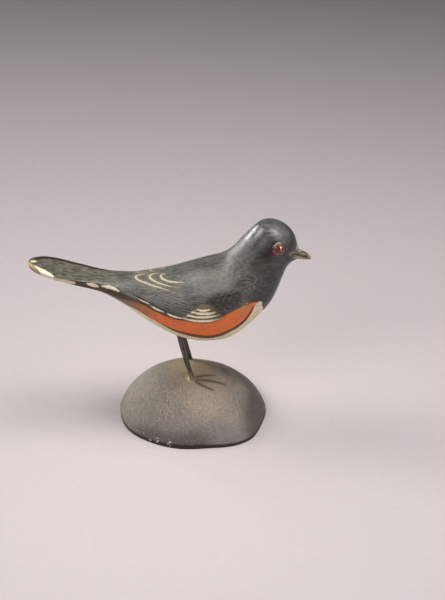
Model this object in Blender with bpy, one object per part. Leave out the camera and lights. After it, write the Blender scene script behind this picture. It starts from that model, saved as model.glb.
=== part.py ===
"""A miniature songbird carving: a painted wooden bird on two wire legs over a rounded wooden base.

Metres, +Z up. The origin is the middle of the base's flat underside and the beak points to +X.
The bird is a loft. Each cross-section is a rounded or squared oval, whose top, bottom, widest point and
half width are read from four soft lines that are drawn as shares of the bird's length.
"""

import bmesh
import bpy
import numpy as np
from mathutils import Matrix, Vector

# The bird
BIRD_LENGTH = 0.0840  # tail tip to beak tip
BELLY_HEIGHT = 0.0276  # underside of the base to the lowest point of the belly
STAND_SHARE = 0.5788  # the middle of the base, as a share of the bird's length from the tail tip
LEAST_THICKNESS = 0.0007  # the tail's and the beak's ends are never thinner

# The base, a hand-cut dome
BASE_WIDTH = 0.0446
BASE_DEPTH = 0.0420
BASE_HEIGHT = 0.0161
RIM_HEIGHT = 0.0008  # the upright edge around the underside
SUMMIT_BACK = 0.0009  # the dome's top lies this far towards the tail

# The wire legs, which stand in drilled sockets
LEG_DIAMETER = 0.0015
LEG_SPACING = 0.0112
LEG_LEAN_DEG = 14.2  # from upright, towards the tail
FOOT_BACK = 0.0003  # from the middle of the base, towards the tail
SOCKET_DEPTH = 0.0045
SOCKET_CLEARANCE = 0.00015  # around the wire
END_CLEARANCE = 0.0003  # past each end of the wire
MOUND_BALL_DIAMETER = 0.0048  # the filler that beds each wire in the base is the cap of such a ball
MOUND_HEIGHT = 0.0009

# The raised eyes
EYE_BALL_DIAMETER = 0.0064  # each eye is the cap of such a ball
EYE_HEIGHT = 0.0004
EYE_ALONG = 88.6  # percent of the bird's length
EYE_TURN_DEG = 20.0  # above the widest point of the section

# Lines of the bird, as percent of its length. The first number is how far along from the tail tip. The
# second is how far up from the lowest point of the belly, for the back, the belly and the widest point at
# the side, or how far out from the middle, for the half width in the plan.
BACK_LINE = (
    (0.0, 30.6),
    (2.3, 30.6),
    (10.6, 28.1),
    (21.3, 25.6),
    (32.0, 24.2),
    (41.5, 24.8),
    (52.3, 26.3),
    (63.0, 30.8),
    (70.1, 32.3),
    (73.7, 36.6),
    (78.5, 42.9),
    (82.6, 47.0),
    (86.8, 46.9),
    (91.5, 44.8),
    (94.6, 41.0),
    (95.5, 34.7),
    (96.3, 34.9),
    (98.2, 34.4),
    (100.0, 32.6),
)
BELLY_LINE = (
    (0.0, 29.0),
    (2.3, 28.3),
    (10.6, 26.7),
    (20.1, 22.7),
    (27.3, 19.9),
    (34.4, 14.4),
    (43.9, 7.3),
    (53.5, 1.6),
    (61.0, 0.1),
    (67.5, 0.3),
    (73.0, 1.6),
    (78.0, 6.3),
    (82.5, 10.9),
    (86.0, 15.5),
    (88.6, 21.6),
    (90.8, 29.1),
    (92.3, 31.8),
    (95.1, 32.5),
    (97.5, 31.5),
    (100.0, 31.7),
)
SIDE_LINE = (
    (0.0, 29.8),
    (10.0, 27.4),
    (20.0, 24.7),
    (28.0, 22.6),
    (36.0, 18.2),
    (46.0, 15.0),
    (58.0, 14.6),
    (68.0, 16.0),
    (76.0, 21.0),
    (82.0, 31.0),
    (87.0, 38.0),
    (91.0, 37.2),
    (95.0, 34.4),
    (100.0, 32.1),
)
PLAN_LINE = (
    (0.0, 0.3),
    (0.2, 1.8),
    (1.4, 3.6),
    (3.4, 5.0),
    (6.4, 6.5),
    (10.0, 7.0),
    (16.0, 6.7),
    (22.5, 5.6),
    (29.6, 5.4),
    (36.8, 8.6),
    (46.3, 12.6),
    (55.8, 14.3),
    (65.5, 14.7),
    (74.0, 13.2),
    (80.5, 10.4),
    (86.0, 9.3),
    (90.0, 8.5),
    (93.0, 6.4),
    (94.6, 3.9),
    (95.6, 2.2),
    (97.5, 1.6),
    (99.8, 1.0),
    (100.0, 0.3),
)

# Where the squared tail turns into the oval body, and where the breast swells out below the head
SLAB_SPAN = (15.0, 40.0)
BREAST_SPANS = ((72.0, 85.0), (86.0, 94.0))
BREAST_SWELL = 0.4
OVAL_POWER = 2.08
SLAB_POWER_ABOVE = 5.5
SLAB_POWER_BELOW = 3.0
LEAST_REACH = 0.2  # the widest point stays this share of the section's height inside it

# How far out the base's edge lies at every 22.5 degrees, from the beak's side round to the tail's, as percent
# of its reach under the tail. The dome's section is fuller on the tail's side.
EDGE_LINE = (97.7, 99.1, 103.4, 97.0, 93.0, 95.0, 98.0, 101.8, 100.0)
DOME_POWER = 1.92
DOME_POWER_DROP = 0.38
DOME_SHARPNESS = 0.83
EDGE_SAMPLES = 361

# Facets
BIRD_STATIONS = 64
BIRD_SIDES = 36
BASE_RINGS = 15
BASE_SIDES = 56
WIRE_SIDES = 16
LINE_SAMPLES = 1500
BALL_SIDES = 24


def soft_line(points):
    """A cubic B-spline drawn towards the points, which starts and ends on the first and the last one."""
    p = np.asarray(points, float)
    p = np.vstack([2 * p[0] - p[1], p, 2 * p[-1] - p[-2]])
    t = np.linspace(0, len(p) - 3 - 1e-9, LINE_SAMPLES)
    first = t.astype(int)
    u = (t - first)[:, None]
    weights = ((1 - u) ** 3, 3 * u**3 - 6 * u**2 + 4, 3 * (u + u**2 - u**3) + 1, u**3)
    return sum(w * p[first + k] for k, w in enumerate(weights)) / 6


def read_line(points, along):
    """Height or half width, in metres, at these percents of the bird's length."""
    line = soft_line(points)
    return np.interp(along, np.maximum.accumulate(line[:, 0]), line[:, 1]) * BIRD_LENGTH / 100


def ease(value, low, high):
    """0 below low, 1 above high and an S-shaped rise between them."""
    t = np.clip((value - low) / (high - low), 0, 1)
    return t * t * (3 - 2 * t)


def bird_x(along):
    return (along / 100 - STAND_SHARE) * BIRD_LENGTH


def section_points(along, turn):
    """Points of the bird's surface. turn is the angle round the section, from 0 at the bird's left side over
    the back to the right side. The oval is y = w cos(turn) ^ p and z = h sin(turn) ^ p about the widest
    point, and below the head it is widened by 1 + swell sin(turn) ^ 2."""
    along, turn = np.broadcast_arrays(np.asarray(along, float), np.asarray(turn, float))
    top = read_line(BACK_LINE, along)
    bottom = np.minimum(read_line(BELLY_LINE, along), top - LEAST_THICKNESS)
    half_width = read_line(PLAN_LINE, along)
    margin = LEAST_REACH * (top - bottom)
    middle = np.clip(read_line(SIDE_LINE, along), bottom + margin, top - margin)
    slab = 1 - ease(along, *SLAB_SPAN)
    swell = BREAST_SWELL * ease(along, *BREAST_SPANS[0]) * (1 - ease(along, *BREAST_SPANS[1]))
    across, up = np.cos(turn), np.sin(turn)
    squareness = np.where(up > 0, SLAB_POWER_ABOVE, SLAB_POWER_BELOW) * slab**1.5
    power = 2 / (OVAL_POWER + squareness)
    reach = np.where(up > 0, top - middle, middle - bottom)
    widening = 1 + np.where(up < 0, swell, 0) * up**2
    y = half_width * np.sign(across) * np.abs(across) ** power * widening
    z = BELLY_HEIGHT + middle + reach * np.sign(up) * np.abs(up) ** power
    return np.stack([bird_x(along), y, z], axis=-1)


def surface_at(along, turn):
    """A place on the bird's surface and the direction straight out of it."""
    ends = np.array((-0.5, 0.5))
    forward = np.diff(section_points(along + ends, turn), axis=0)[0]
    around = np.diff(section_points(along, turn + 0.1 * ends), axis=0)[0]
    return Vector(section_points(along, turn)), Vector(np.cross(around, forward))


def even_stations(count):
    """Places along the bird that crowd together where its lines are steep."""
    along = np.linspace(0, 100, LINE_SAMPLES)
    steps = [np.diff(along)]
    for line in (BACK_LINE, BELLY_LINE, PLAN_LINE):
        steps.append(np.diff(read_line(line, along)) * 100 / BIRD_LENGTH)
    measure = np.concatenate([[0], np.cumsum(np.sqrt(sum(s**2 for s in steps)))])
    return np.interp(np.linspace(0, measure[-1], count), measure, along)


def belly_height(x, y):
    """Height of the bird's underside above a place on the base."""
    along = (x / BIRD_LENGTH + STAND_SHARE) * 100
    under = section_points(along, np.linspace(-np.pi / 2, 0, LINE_SAMPLES))
    return float(np.interp(abs(y), under[:, 1], under[:, 2]))


def edge_reach(turn):
    """Reach of the base's edge at these angles from the beak's side: the sum of cosines that passes through
    the numbers of EDGE_LINE."""
    waves = np.arange(len(EDGE_LINE))
    knots = waves * np.pi / waves[-1]
    weights = np.linalg.solve(np.cos(np.outer(knots, waves)), EDGE_LINE)
    return np.cos(np.outer(turn, waves)) @ weights


def base_edge(turn):
    """Places of the base's edge. Its plan is stretched to the base's width and depth and centred."""
    around = np.linspace(0, 2 * np.pi, EDGE_SAMPLES)
    across, deep = edge_reach(around) * np.cos(around), edge_reach(around) * np.sin(around)
    x = edge_reach(turn) * np.cos(turn) - (across.max() + across.min()) / 2
    y = edge_reach(turn) * np.sin(turn)
    return x * BASE_WIDTH / np.ptp(across), y * BASE_DEPTH / np.ptp(deep)


def dome_profile(share, turn):
    """Height of the dome, from its summit at 0 to the top of its upright edge at 1."""
    power = DOME_POWER - DOME_POWER_DROP * np.cos(turn)
    return RIM_HEIGHT + (BASE_HEIGHT - RIM_HEIGHT) * (1 - share**power) ** DOME_SHARPNESS


def dome_height(x, y):
    """Height of the dome at a place, whose share is its distance from the summit over the edge's."""
    turn = np.linspace(0, np.pi, EDGE_SAMPLES)
    edge_x, edge_y = base_edge(turn)
    edge_x, x = edge_x + SUMMIT_BACK, x + SUMMIT_BACK
    bearing = np.arctan2(abs(y), x)
    bearings = np.arctan2(edge_y, edge_x)
    share = np.hypot(x, y) / np.interp(bearing, bearings, np.hypot(edge_x, edge_y))
    return float(dome_profile(share, np.interp(bearing, bearings, turn)))


def new_object(name, mesh):
    """Put a bmesh into the scene as an object, with smooth faces and sharp edges where it turns."""
    data = bpy.data.meshes.new(name)
    bmesh.ops.recalc_face_normals(mesh, faces=mesh.faces)
    mesh.to_mesh(data)
    mesh.free()
    data.shade_smooth()
    data.set_sharp_from_angle(angle=np.radians(40))
    obj = bpy.data.objects.new(name, data)
    bpy.context.scene.collection.objects.link(obj)
    return obj


def skin(mesh, rings):
    """Cover rings of points with faces, and close the first and the last ring."""
    loops = [[mesh.verts.new(point) for point in ring] for ring in rings]
    for lower, upper in zip(loops, loops[1:]):
        for i, corner in enumerate(lower):
            mesh.faces.new((corner, lower[i - 1], upper[i - 1], upper[i]))
    mesh.faces.new(loops[0])
    mesh.faces.new(loops[-1])


def helper(obj):
    """Mark an object as a cutter or an addition, which isn't a piece itself."""
    obj.hide_render = True
    obj.display_type = "WIRE"
    return obj


def combine(obj, other, operation):
    boolean = obj.modifiers.new(other.name, "BOOLEAN")
    boolean.operation = operation
    boolean.solver = "EXACT"
    boolean.object = helper(other)


def rod(name, start, end, diameter):
    """A round rod between two points."""
    line = end - start
    mesh = bmesh.new()
    bmesh.ops.create_cone(
        mesh,
        cap_ends=True,
        segments=WIRE_SIDES,
        radius1=diameter / 2,
        radius2=diameter / 2,
        depth=line.length,
        matrix=Matrix.Translation((start + end) / 2) @ line.to_track_quat("Z", "Y").to_matrix().to_4x4(),
    )
    return new_object(name, mesh)


def bump(name, place, normal, diameter, height):
    """A ball sunk into a surface at this place, so that its cap stands this high on it."""
    outward = Vector(normal).normalized()
    centre = Vector(place) - outward * (diameter / 2 - height)
    mesh = bmesh.new()
    bmesh.ops.create_uvsphere(
        mesh,
        u_segments=BALL_SIDES,
        v_segments=BALL_SIDES,
        radius=diameter / 2,
        matrix=Matrix.Translation(centre) @ outward.to_track_quat("Z", "Y").to_matrix().to_4x4(),
    )
    return new_object(name, mesh)


def paint(name, colour, roughness, metallic=0.0):
    material = bpy.data.materials.new(name)
    material.use_nodes = True
    shader = material.node_tree.nodes["Principled BSDF"]
    shader.inputs["Base Color"].default_value = (*colour, 1)
    shader.inputs["Roughness"].default_value = roughness
    shader.inputs["Metallic"].default_value = metallic
    return material


def make_bird():
    turns = np.linspace(0, 2 * np.pi, BIRD_SIDES, endpoint=False)
    mesh = bmesh.new()
    skin(mesh, section_points(even_stations(BIRD_STATIONS)[:, None], turns[None, :]))
    bird = new_object("bird", mesh)
    bird.data.materials.append(paint("painted_bird", (0.045, 0.047, 0.05), 0.45))
    return bird


def add_eyes(bird):
    """Low round eyes, one on each side of the head, set square to its surface."""
    place, normal = surface_at(EYE_ALONG, np.radians(EYE_TURN_DEG))
    for side, mirror in (("left", 1), ("right", -1)):
        flip = Vector((1, mirror, 1))
        eye = bump(f"eye_{side}", place * flip, normal * flip, EYE_BALL_DIAMETER, EYE_HEIGHT)
        combine(bird, eye, "UNION")


def make_base():
    turns = np.linspace(0, 2 * np.pi, BASE_SIDES, endpoint=False)
    edge_x, edge_y = base_edge(turns)
    rings = [np.stack([edge_x, edge_y, np.zeros(BASE_SIDES)], axis=-1)]
    for share in np.cos(np.linspace(0, np.pi / 2, BASE_RINGS, endpoint=False)):
        x = share * edge_x - SUMMIT_BACK * (1 - share)
        rings.append(np.stack([x, share * edge_y, dome_profile(share, turns)], axis=-1))
    mesh = bmesh.new()
    skin(mesh, rings)
    base = new_object("base", mesh)
    base.data.materials.append(paint("painted_base", (0.16, 0.13, 0.10), 0.6))
    return base


def wire_run(y):
    """Where a wire meets the base and where it meets the belly."""
    lean = np.tan(np.radians(LEG_LEAN_DEG))
    foot = Vector((-FOOT_BACK, y, dome_height(-FOOT_BACK, y)))
    height = foot.z
    for _ in range(12):
        x = foot.x - lean * (height - foot.z)
        height = belly_height(x, y)
    return foot, Vector((x, y, height))


def add_leg(name, y, bird, base):
    """One wire leg with its sockets in the belly and in the base, and the filler at its foot."""
    foot, hip = wire_run(y)
    along = (hip - foot).normalized()
    bottom, top = foot - along * SOCKET_DEPTH, hip + along * SOCKET_DEPTH
    mound = bump(f"{name}_mound", foot, (0, 0, 1), MOUND_BALL_DIAMETER, MOUND_HEIGHT)
    combine(base, mound, "UNION")
    width = LEG_DIAMETER + 2 * SOCKET_CLEARANCE
    lower = rod(f"{name}_lower_drill", bottom - along * END_CLEARANCE, foot + along * SOCKET_DEPTH, width)
    combine(base, lower, "DIFFERENCE")
    upper = rod(f"{name}_upper_drill", hip - along * SOCKET_DEPTH, top + along * END_CLEARANCE, width)
    combine(bird, upper, "DIFFERENCE")
    leg = rod(name, bottom, top, LEG_DIAMETER)
    leg.data.materials.append(paint("painted_wire", (0.03, 0.028, 0.025), 0.5))


def main():
    for obj in list(bpy.data.objects):
        bpy.data.objects.remove(obj, do_unlink=True)
    bird = make_bird()
    base = make_base()
    add_eyes(bird)
    add_leg("leg_left", LEG_SPACING / 2, bird, base)
    add_leg("leg_right", -LEG_SPACING / 2, bird, base)


if __name__ == "__main__":
    main()
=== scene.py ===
"""Finished surfaces of a miniature songbird carving: a painted wooden bird on wire legs over a wooden base.

The bird is a loft whose cross-sections follow four soft lines, drawn as percents of its length. Its painted
marks are strokes and fields of (along, arc) places: how far along the bird they lie, in percent, and how far
above the widest line of the side, in mm along the skin. Each is drawn once and stands on both sides.
"""

import bpy
import numpy as np
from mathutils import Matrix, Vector


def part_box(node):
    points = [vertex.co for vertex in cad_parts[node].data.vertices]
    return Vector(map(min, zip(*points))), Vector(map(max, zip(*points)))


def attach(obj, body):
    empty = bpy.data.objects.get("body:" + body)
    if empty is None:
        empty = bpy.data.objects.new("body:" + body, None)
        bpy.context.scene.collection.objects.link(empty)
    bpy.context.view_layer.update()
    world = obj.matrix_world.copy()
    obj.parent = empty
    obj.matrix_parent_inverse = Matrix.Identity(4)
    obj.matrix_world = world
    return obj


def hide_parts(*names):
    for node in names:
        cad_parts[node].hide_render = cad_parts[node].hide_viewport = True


bl_info = {
    "name": "Miniature Songbird Carving",
    "version": (1, 0, 0),
    "blender": (4, 5, 0),
    "location": "View3D > Sidebar > Songbird",
    "description": "Builds the painted finish of a miniature songbird carving around its solid frame",
    "category": "Object",
}

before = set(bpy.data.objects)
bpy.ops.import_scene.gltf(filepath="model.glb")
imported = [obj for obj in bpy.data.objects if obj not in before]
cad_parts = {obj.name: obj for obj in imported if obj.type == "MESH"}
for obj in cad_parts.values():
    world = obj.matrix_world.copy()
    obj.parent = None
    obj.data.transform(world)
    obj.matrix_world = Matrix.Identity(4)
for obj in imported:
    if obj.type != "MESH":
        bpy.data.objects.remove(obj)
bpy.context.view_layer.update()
BASE_LOW, BASE_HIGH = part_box("base")
BIRD_LOW, BIRD_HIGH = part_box("bird")

MM = 0.001

# Lines of the bird, as percent of its length: how far along from the tail tip, and how far up from the lowest
# point of the belly or how far out from the middle.
BACK_LINE = (
    (0.0, 30.6), (2.3, 30.6), (10.6, 28.1), (21.3, 25.6), (32.0, 24.2), (41.5, 24.8), (52.3, 26.3),
    (63.0, 30.8), (70.1, 32.3), (73.7, 36.6), (78.5, 42.9), (82.6, 47.0), (86.8, 46.9), (91.5, 44.8),
    (94.6, 41.0), (95.5, 34.7), (96.3, 34.9), (98.2, 34.4), (100.0, 32.6),
)
BELLY_LINE = (
    (0.0, 29.0), (2.3, 28.3), (10.6, 26.5), (20.1, 22.7), (27.3, 19.9), (34.4, 14.4), (43.9, 7.3),
    (53.5, 1.6), (61.0, 0.1), (67.5, 0.3), (73.0, 1.6), (78.0, 6.3), (82.5, 10.9), (86.0, 15.5),
    (88.6, 21.6), (90.8, 29.1), (92.3, 31.8), (95.1, 32.5), (97.5, 31.5), (100.0, 31.7),
)
SIDE_LINE = (
    (0.0, 29.8), (10.0, 27.4), (20.0, 24.7), (28.0, 22.6), (36.0, 18.2), (46.0, 15.0), (58.0, 14.6),
    (68.0, 16.0), (76.0, 21.0), (82.0, 31.0), (87.0, 38.0), (91.0, 37.2), (95.0, 34.4), (100.0, 32.1),
)
PLAN_LINE = (
    (0.0, 0.3), (0.2, 1.8), (1.4, 3.6), (3.4, 5.0), (6.4, 6.5), (10.0, 7.0), (16.0, 6.7), (22.5, 5.6),
    (29.6, 5.4), (36.8, 8.6), (46.3, 12.6), (55.8, 14.3), (65.5, 14.7), (74.0, 13.2), (80.5, 10.4),
    (86.0, 9.3), (90.0, 8.5), (93.0, 6.4), (94.6, 3.9), (95.6, 2.2), (97.5, 1.6), (99.8, 1.0),
    (100.0, 0.3),
)
SLAB_SPAN = (15.0, 40.0)
BREAST_SPANS = ((72.0, 85.0), (86.0, 94.0))
BREAST_SWELL = 0.4
OVAL_POWER = 2.08
SLAB_POWERS = (5.5, 3.0)
LEAST_REACH = 0.2
LEAST_THICKNESS = 0.7
LINE_SAMPLES = 1500

# The dome of the base: how far out its edge lies at even turns from the beak's side to the tail's, as percent
# of its reach under the tail, and its section, whose lengths are in mm
EDGE_LINE = (97.7, 99.1, 103.4, 97.0, 93.0, 95.0, 98.0, 101.8, 100.0)
DOME_POWER = 1.92
DOME_POWER_DROP = 0.38
DOME_SHARPNESS = 0.83
RIM_HEIGHT = 0.8
DOME_TOP = 16.1
SUMMIT_BACK = 0.9
FOOT_BACK = 0.3
EDGE_SAMPLES = 361

# Where the knife left the edge proud or cut in: bearing and width in degrees, and reach in mm
EDGE_FACETS = ((171, 11, 0.35), (207, 16, -0.35), (0, 13, 0.27), (320, 13, 0.27))

# An arc past the ridge or the keel of every section
RIDGE = 40.0

# How finely the sections are measured, from a little past the ridge (in radians) down to the keel, and the
# strokes, the toes and each side of a field
PAST_RIDGE = 0.6
UPPER_SAMPLES = 240
LOWER_SAMPLES = 181
QUARTER_SAMPLES = 90
STROKE_SAMPLES = 24
TOE_SAMPLES = 16
FIELD_STEPS = 6

# How far from a stroke, the comb's lines, a toe and a field's edge the distance to it is kept, in mm
STROKE_REACH = 2.5
COMB_REACH = 9.0
TOE_REACH = 9.0
FIELD_REACH = 9.0

# Strokes of cream paint: (along, arc, half width in mm). Those of FEATHER_EDGES and FAINT_EDGES may run on
# over the ridge.
FEATHER_EDGES = (
    ((41.9, 13.4, 0.05), (40.8, 12.8, 0.12), (39.4, 11.8, 0.2), (38.4, 11.0, 0.28), (37.8, 9.9, 0.34),
     (38.2, 9.1, 0.34), (39.5, 8.8, 0.32), (41.0, 8.9, 0.3), (42.4, 8.9, 0.28), (43.8, 8.8, 0.26),
     (45.3, 8.8, 0.24), (46.7, 8.9, 0.19), (48.5, 8.7, 0.1), (49.9, 8.4, 0.03)),
    ((46.2, 14.9, 0.05), (44.6, 14.5, 0.18), (43.7, 13.8, 0.26), (43.0, 12.9, 0.32), (42.8, 11.9, 0.34),
     (43.3, 11.2, 0.34), (44.5, 10.8, 0.33), (45.6, 10.5, 0.31), (46.7, 10.3, 0.29), (47.7, 10.2, 0.24),
     (49.2, 10.0, 0.16), (51.2, 9.9, 0.04)),
    ((48.7, 14.9, 0.05), (48.0, 14.8, 0.18), (47.3, 14.6, 0.26), (46.8, 13.8, 0.32), (46.9, 13.0, 0.34),
     (47.6, 12.4, 0.34), (48.6, 12.0, 0.33), (49.7, 11.7, 0.32), (50.9, 11.6, 0.29), (52.3, 11.6, 0.26),
     (53.8, 11.7, 0.2), (55.4, 11.7, 0.04)),
)
FAINT_EDGES = (
    ((48.5, 8.7, 0.08), (49.9, 8.4, 0.15), (52.0, 8.1, 0.15), (54.5, 7.5, 0.12), (57.0, 6.9, 0.04)),
    ((50.4, 9.9, 0.1), (52.4, 9.9, 0.13), (54.6, 9.8, 0.04)),
    ((49.2, 16.0, 0.06), (50.8, 15.0, 0.16), (52.5, 14.2, 0.14), (55.0, 13.4, 0.04)),
    ((29.5, 5.9, 0.03), (30.7, 4.6, 0.12), (31.8, 3.7, 0.16), (33.2, 3.2, 0.12), (34.6, 2.9, 0.03)),
)
# How much lower, in mm, and to what share of their width the far wing's feather edges were painted
FAR_DROP = 2.4
FAR_SHARE = 0.6
WING_DASHES = (
    ((39.2, 2.65, 0.08), (41.0, 2.75, 0.22), (43.0, 2.75, 0.1)),
    ((43.6, 2.35, 0.12), (44.9, 2.05, 0.28), (46.5, 1.85, 0.28), (48.2, 1.65, 0.08)),
    ((49.3, 1.45, 0.16), (50.4, 1.05, 0.36), (52.0, 0.8, 0.36), (54.9, 0.5, 0.12)),
)
PATCH_ARCS = (
    ((60.0, 3.45, 0.19), (61.0, 3.08, 0.33), (62.6, 2.88, 0.35), (64.3, 2.98, 0.2)),
    ((57.9, 2.75, 0.21), (59.6, 2.25, 0.37), (62.0, 1.92, 0.4), (64.4, 1.72, 0.36), (66.2, 1.68, 0.17)),
    ((56.4, 1.75, 0.21), (58.8, 1.18, 0.37), (61.4, 0.82, 0.41), (64.7, 0.6, 0.38), (67.8, 0.32, 0.17)),
    ((55.0, 0.6, 0.23), (57.9, -0.02, 0.39), (61.4, -0.5, 0.43), (64.7, -0.8, 0.38), (67.1, -1.0, 0.3),
     (69.0, -1.0, 0.14)),
)
PATCH_MARGIN = (
    (60.3, 3.9, 0.1), (59.6, 3.3, 0.22), (58.5, 2.8, 0.26), (57.7, 2.2, 0.26), (56.8, 1.7, 0.26),
    (55.9, 1.1, 0.24), (55.2, 0.5, 0.14),
)
PATCH_LENSES = (
    ((58.3, 2.45, 0.05), (59.0, 2.25, 0.17), (59.8, 1.95, 0.04)),
    ((56.2, 1.2, 0.05), (57.1, 0.95, 0.2), (58.3, 0.55, 0.04)),
)

# Dark strokes
WING_EDGE = (
    (33.5, 3.0, 0.06), (37.1, 3.0, 0.14), (39.5, 3.25, 0.16), (41.7, 3.25, 0.17), (43.9, 3.0, 0.2),
    (46.1, 2.6, 0.22), (48.2, 2.25, 0.24), (49.9, 1.85, 0.24), (52.0, 1.45, 0.24), (54.2, 1.1, 0.22),
    (55.3, 0.9, 0.1),
)
WING_UNDER_EDGE = (
    (33.0, 1.1, 0.3), (35.0, 1.5, 0.36), (37.0, 1.75, 0.36), (38.8, 1.9, 0.32), (40.6, 2.0, 0.3),
    (42.8, 1.95, 0.3), (44.4, 1.45, 0.28), (47.1, 1.15, 0.26), (49.3, 0.65, 0.26), (51.5, 0.2, 0.24),
    (54.2, 0.0, 0.22), (55.4, 0.05, 0.14),
)
PATCH_SHADE = (
    (55.0, 0.1, 0.1), (57.9, -0.55, 0.16), (61.4, -1.05, 0.2), (64.7, -1.3, 0.2), (67.1, -1.35, 0.18),
    (69.2, -0.9, 0.06),
)
FLANK_LINE = (
    (79.6, -7.2, 0.1), (79.4, -8.0, 0.28), (78.2, -8.9, 0.46), (76.1, -9.2, 0.62), (73.6, -8.7, 0.76),
    (70.6, -8.1, 0.84), (67.8, -8.4, 0.92), (64.3, -8.2, 0.96), (61.9, -7.7, 0.94), (56.5, -6.2, 0.8),
    (52.5, -5.1, 0.56), (48.9, -3.7, 0.32), (46.6, -2.9, 0.16), (44.0, -2.3, 0.04),
)
# Small dashes that feather the back
BACK_DASHES = (
    (54.5, 18.8), (56.9, 19.7), (59.4, 20.1), (55.8, 16.4), (58.3, 16.3), (60.8, 16.7), (61.8, 22.9),
    (64.3, 23.2), (66.4, 23.2), (53.9, 14.9), (62.6, 18.6), (65.1, 20.9), (66.7, 19.0), (63.4, 15.4),
    (68.2, 21.2),
)
BLACK_SCALLOPS = (
    (65.4, 6.9), (67.4, 6.9), (69.7, 6.6), (72.0, 5.9), (66.4, 5.8), (68.6, 5.7), (70.9, 5.1),
    (73.2, 4.4), (65.6, 4.7), (67.6, 4.6), (69.8, 4.1), (72.2, 3.4), (66.8, 3.4), (68.9, 3.0),
    (71.2, 2.3), (73.6, 2.0), (68.2, 1.8), (70.4, 1.1),
)

# Fields of (along, arc)
FLANK = (
    (27.5, -1.3), (29.6, -1.2), (31.7, -0.7), (33.9, 0.0), (36.0, 0.7), (38.5, 1.5), (40.7, 1.7),
    (42.8, 1.8), (46.1, 1.6), (49.3, 0.9), (51.7, 0.4), (54.2, 0.2), (57.9, -0.3), (61.4, -0.85),
    (64.7, -1.15), (67.1, -1.25), (68.8, -0.8), (69.9, -0.5), (72.1, -0.8), (74.9, -1.6), (76.6, -2.4),
    (79.0, -4.9), (80.9, -7.7), (80.9, -8.9), (79.5, -8.7), (78.4, -9.3), (76.1, -9.2), (73.6, -8.5),
    (70.6, -8.0), (67.8, -8.4), (64.3, -8.2), (61.9, -7.6), (56.5, -6.2), (52.5, -5.1), (48.9, -3.8),
    (46.6, -3.0), (44.9, -2.6), (43.1, -2.4), (41.3, -2.0), (39.5, -1.6), (37.4, -1.5), (35.3, -1.8),
    (33.0, -2.1), (30.5, -2.2), (27.5, -2.2),
)
BELLY = (
    (29.5, -2.2), (33.0, -2.0), (35.3, -1.7), (37.4, -1.35), (39.5, -1.4), (41.3, -1.8), (43.1, -2.15),
    (44.9, -2.4), (46.6, -2.8), (48.9, -3.6), (52.5, -5.1), (56.5, -6.2), (61.9, -7.6), (64.3, -8.2),
    (67.8, -8.4), (70.6, -8.0), (73.6, -8.5), (76.1, -9.2), (78.4, -9.3), (79.5, -8.7), (80.6, -7.9),
    (81.9, -8.9), (82.2, -9.6), (82.8, -10.8), (82.6, -12.0), (83.2, -13.4), (83.0, -15.0), (83.3, -16.5),
    (82.6, -19.0), (82.6, -RIDGE), (29.5, -RIDGE),
)
PATCH = (
    (54.9, 0.7), (57.4, 2.4), (59.0, 3.8), (60.5, 4.8), (62.0, 4.95), (63.9, 4.6), (65.0, 3.7),
    (66.3, 2.2), (68.1, 0.5), (69.0, -0.7), (67.1, -1.15), (64.7, -1.1), (61.4, -0.85), (57.9, -0.35),
)
PATCH_CAP = ((60.2, 3.9), (60.6, 4.8), (62.0, 5.0), (63.9, 4.6), (64.4, 3.4), (62.8, 3.3), (61.2, 3.5))
UNDERWING = (
    (63.9, 6.8), (66.8, 7.4), (70.4, 6.2), (73.8, 4.5), (75.6, 2.6), (75.6, 0.2), (74.6, -1.2),
    (72.1, -0.9), (69.6, -0.6), (68.2, 0.6), (66.0, 2.4), (64.9, 4.0), (62.0, 5.2),
)
WING = (
    (29.1, RIDGE), (29.4, 4.9), (30.1, 4.2), (31.1, 3.4), (33.0, 3.2), (36.0, 3.2), (39.5, 3.1),
    (43.9, 2.7), (48.2, 2.0), (52.0, 1.2), (55.0, 0.6), (58.0, -0.7), (61.4, -1.4), (66.0, -1.6),
    (69.5, -0.8), (72.5, 0.6), (75.5, 4.0), (76.5, 8.0), (75.0, 12.0), (70.0, RIDGE),
)
BEAK = (
    (95.3, RIDGE), (94.8, 3.3), (94.2, 2.4), (92.7, 1.5), (92.3, 0.8), (93.0, 0.1), (93.7, -0.5),
    (94.8, -1.6), (95.2, -RIDGE), (101.0, -RIDGE), (101.0, RIDGE),
)
MOUTH = (
    (93.1, 1.0, 0.1), (94.6, 0.7, 0.17), (96.1, 0.25, 0.19), (97.5, 0.2, 0.24), (98.3, 0.3, 0.28),
    (99.3, 0.4, 0.14),
)

# Where the barbs are combed, and the line that they lean on above
COMB = (
    (31.5, 3.6), (36.0, 3.4), (41.7, 3.4), (46.1, 2.8), (49.9, 2.1), (54.2, 1.3), (56.0, 1.4),
    (58.0, 2.6), (58.9, 4.2), (57.6, 6.4), (53.9, 7.5), (48.8, 8.4), (41.9, 8.5), (38.3, 8.5),
    (36.5, 8.2), (33.5, 6.5),
)
COMB_TOP = (
    (33.0, 8.0, 0), (38.3, 8.9, 0), (44.4, 8.8, 0), (48.8, 8.5, 0), (53.9, 7.6, 0), (58.5, 6.7, 0),
    (61.0, 6.2, 0),
)

# Painted toes on the dome, from the foot: towards the beak, towards the far side, half width, in mm
TOES = (
    ((1.3, 0.7, 0.34), (4.2, 1.9, 0.52), (6.6, 2.3, 0.2)),
    ((1.4, 0.1, 0.4), (5.6, -0.9, 0.66), (10.4, -2.2, 0.24)),
    ((1.2, -0.7, 0.36), (4.2, -2.7, 0.54), (7.0, -4.3, 0.18)),
)

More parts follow.
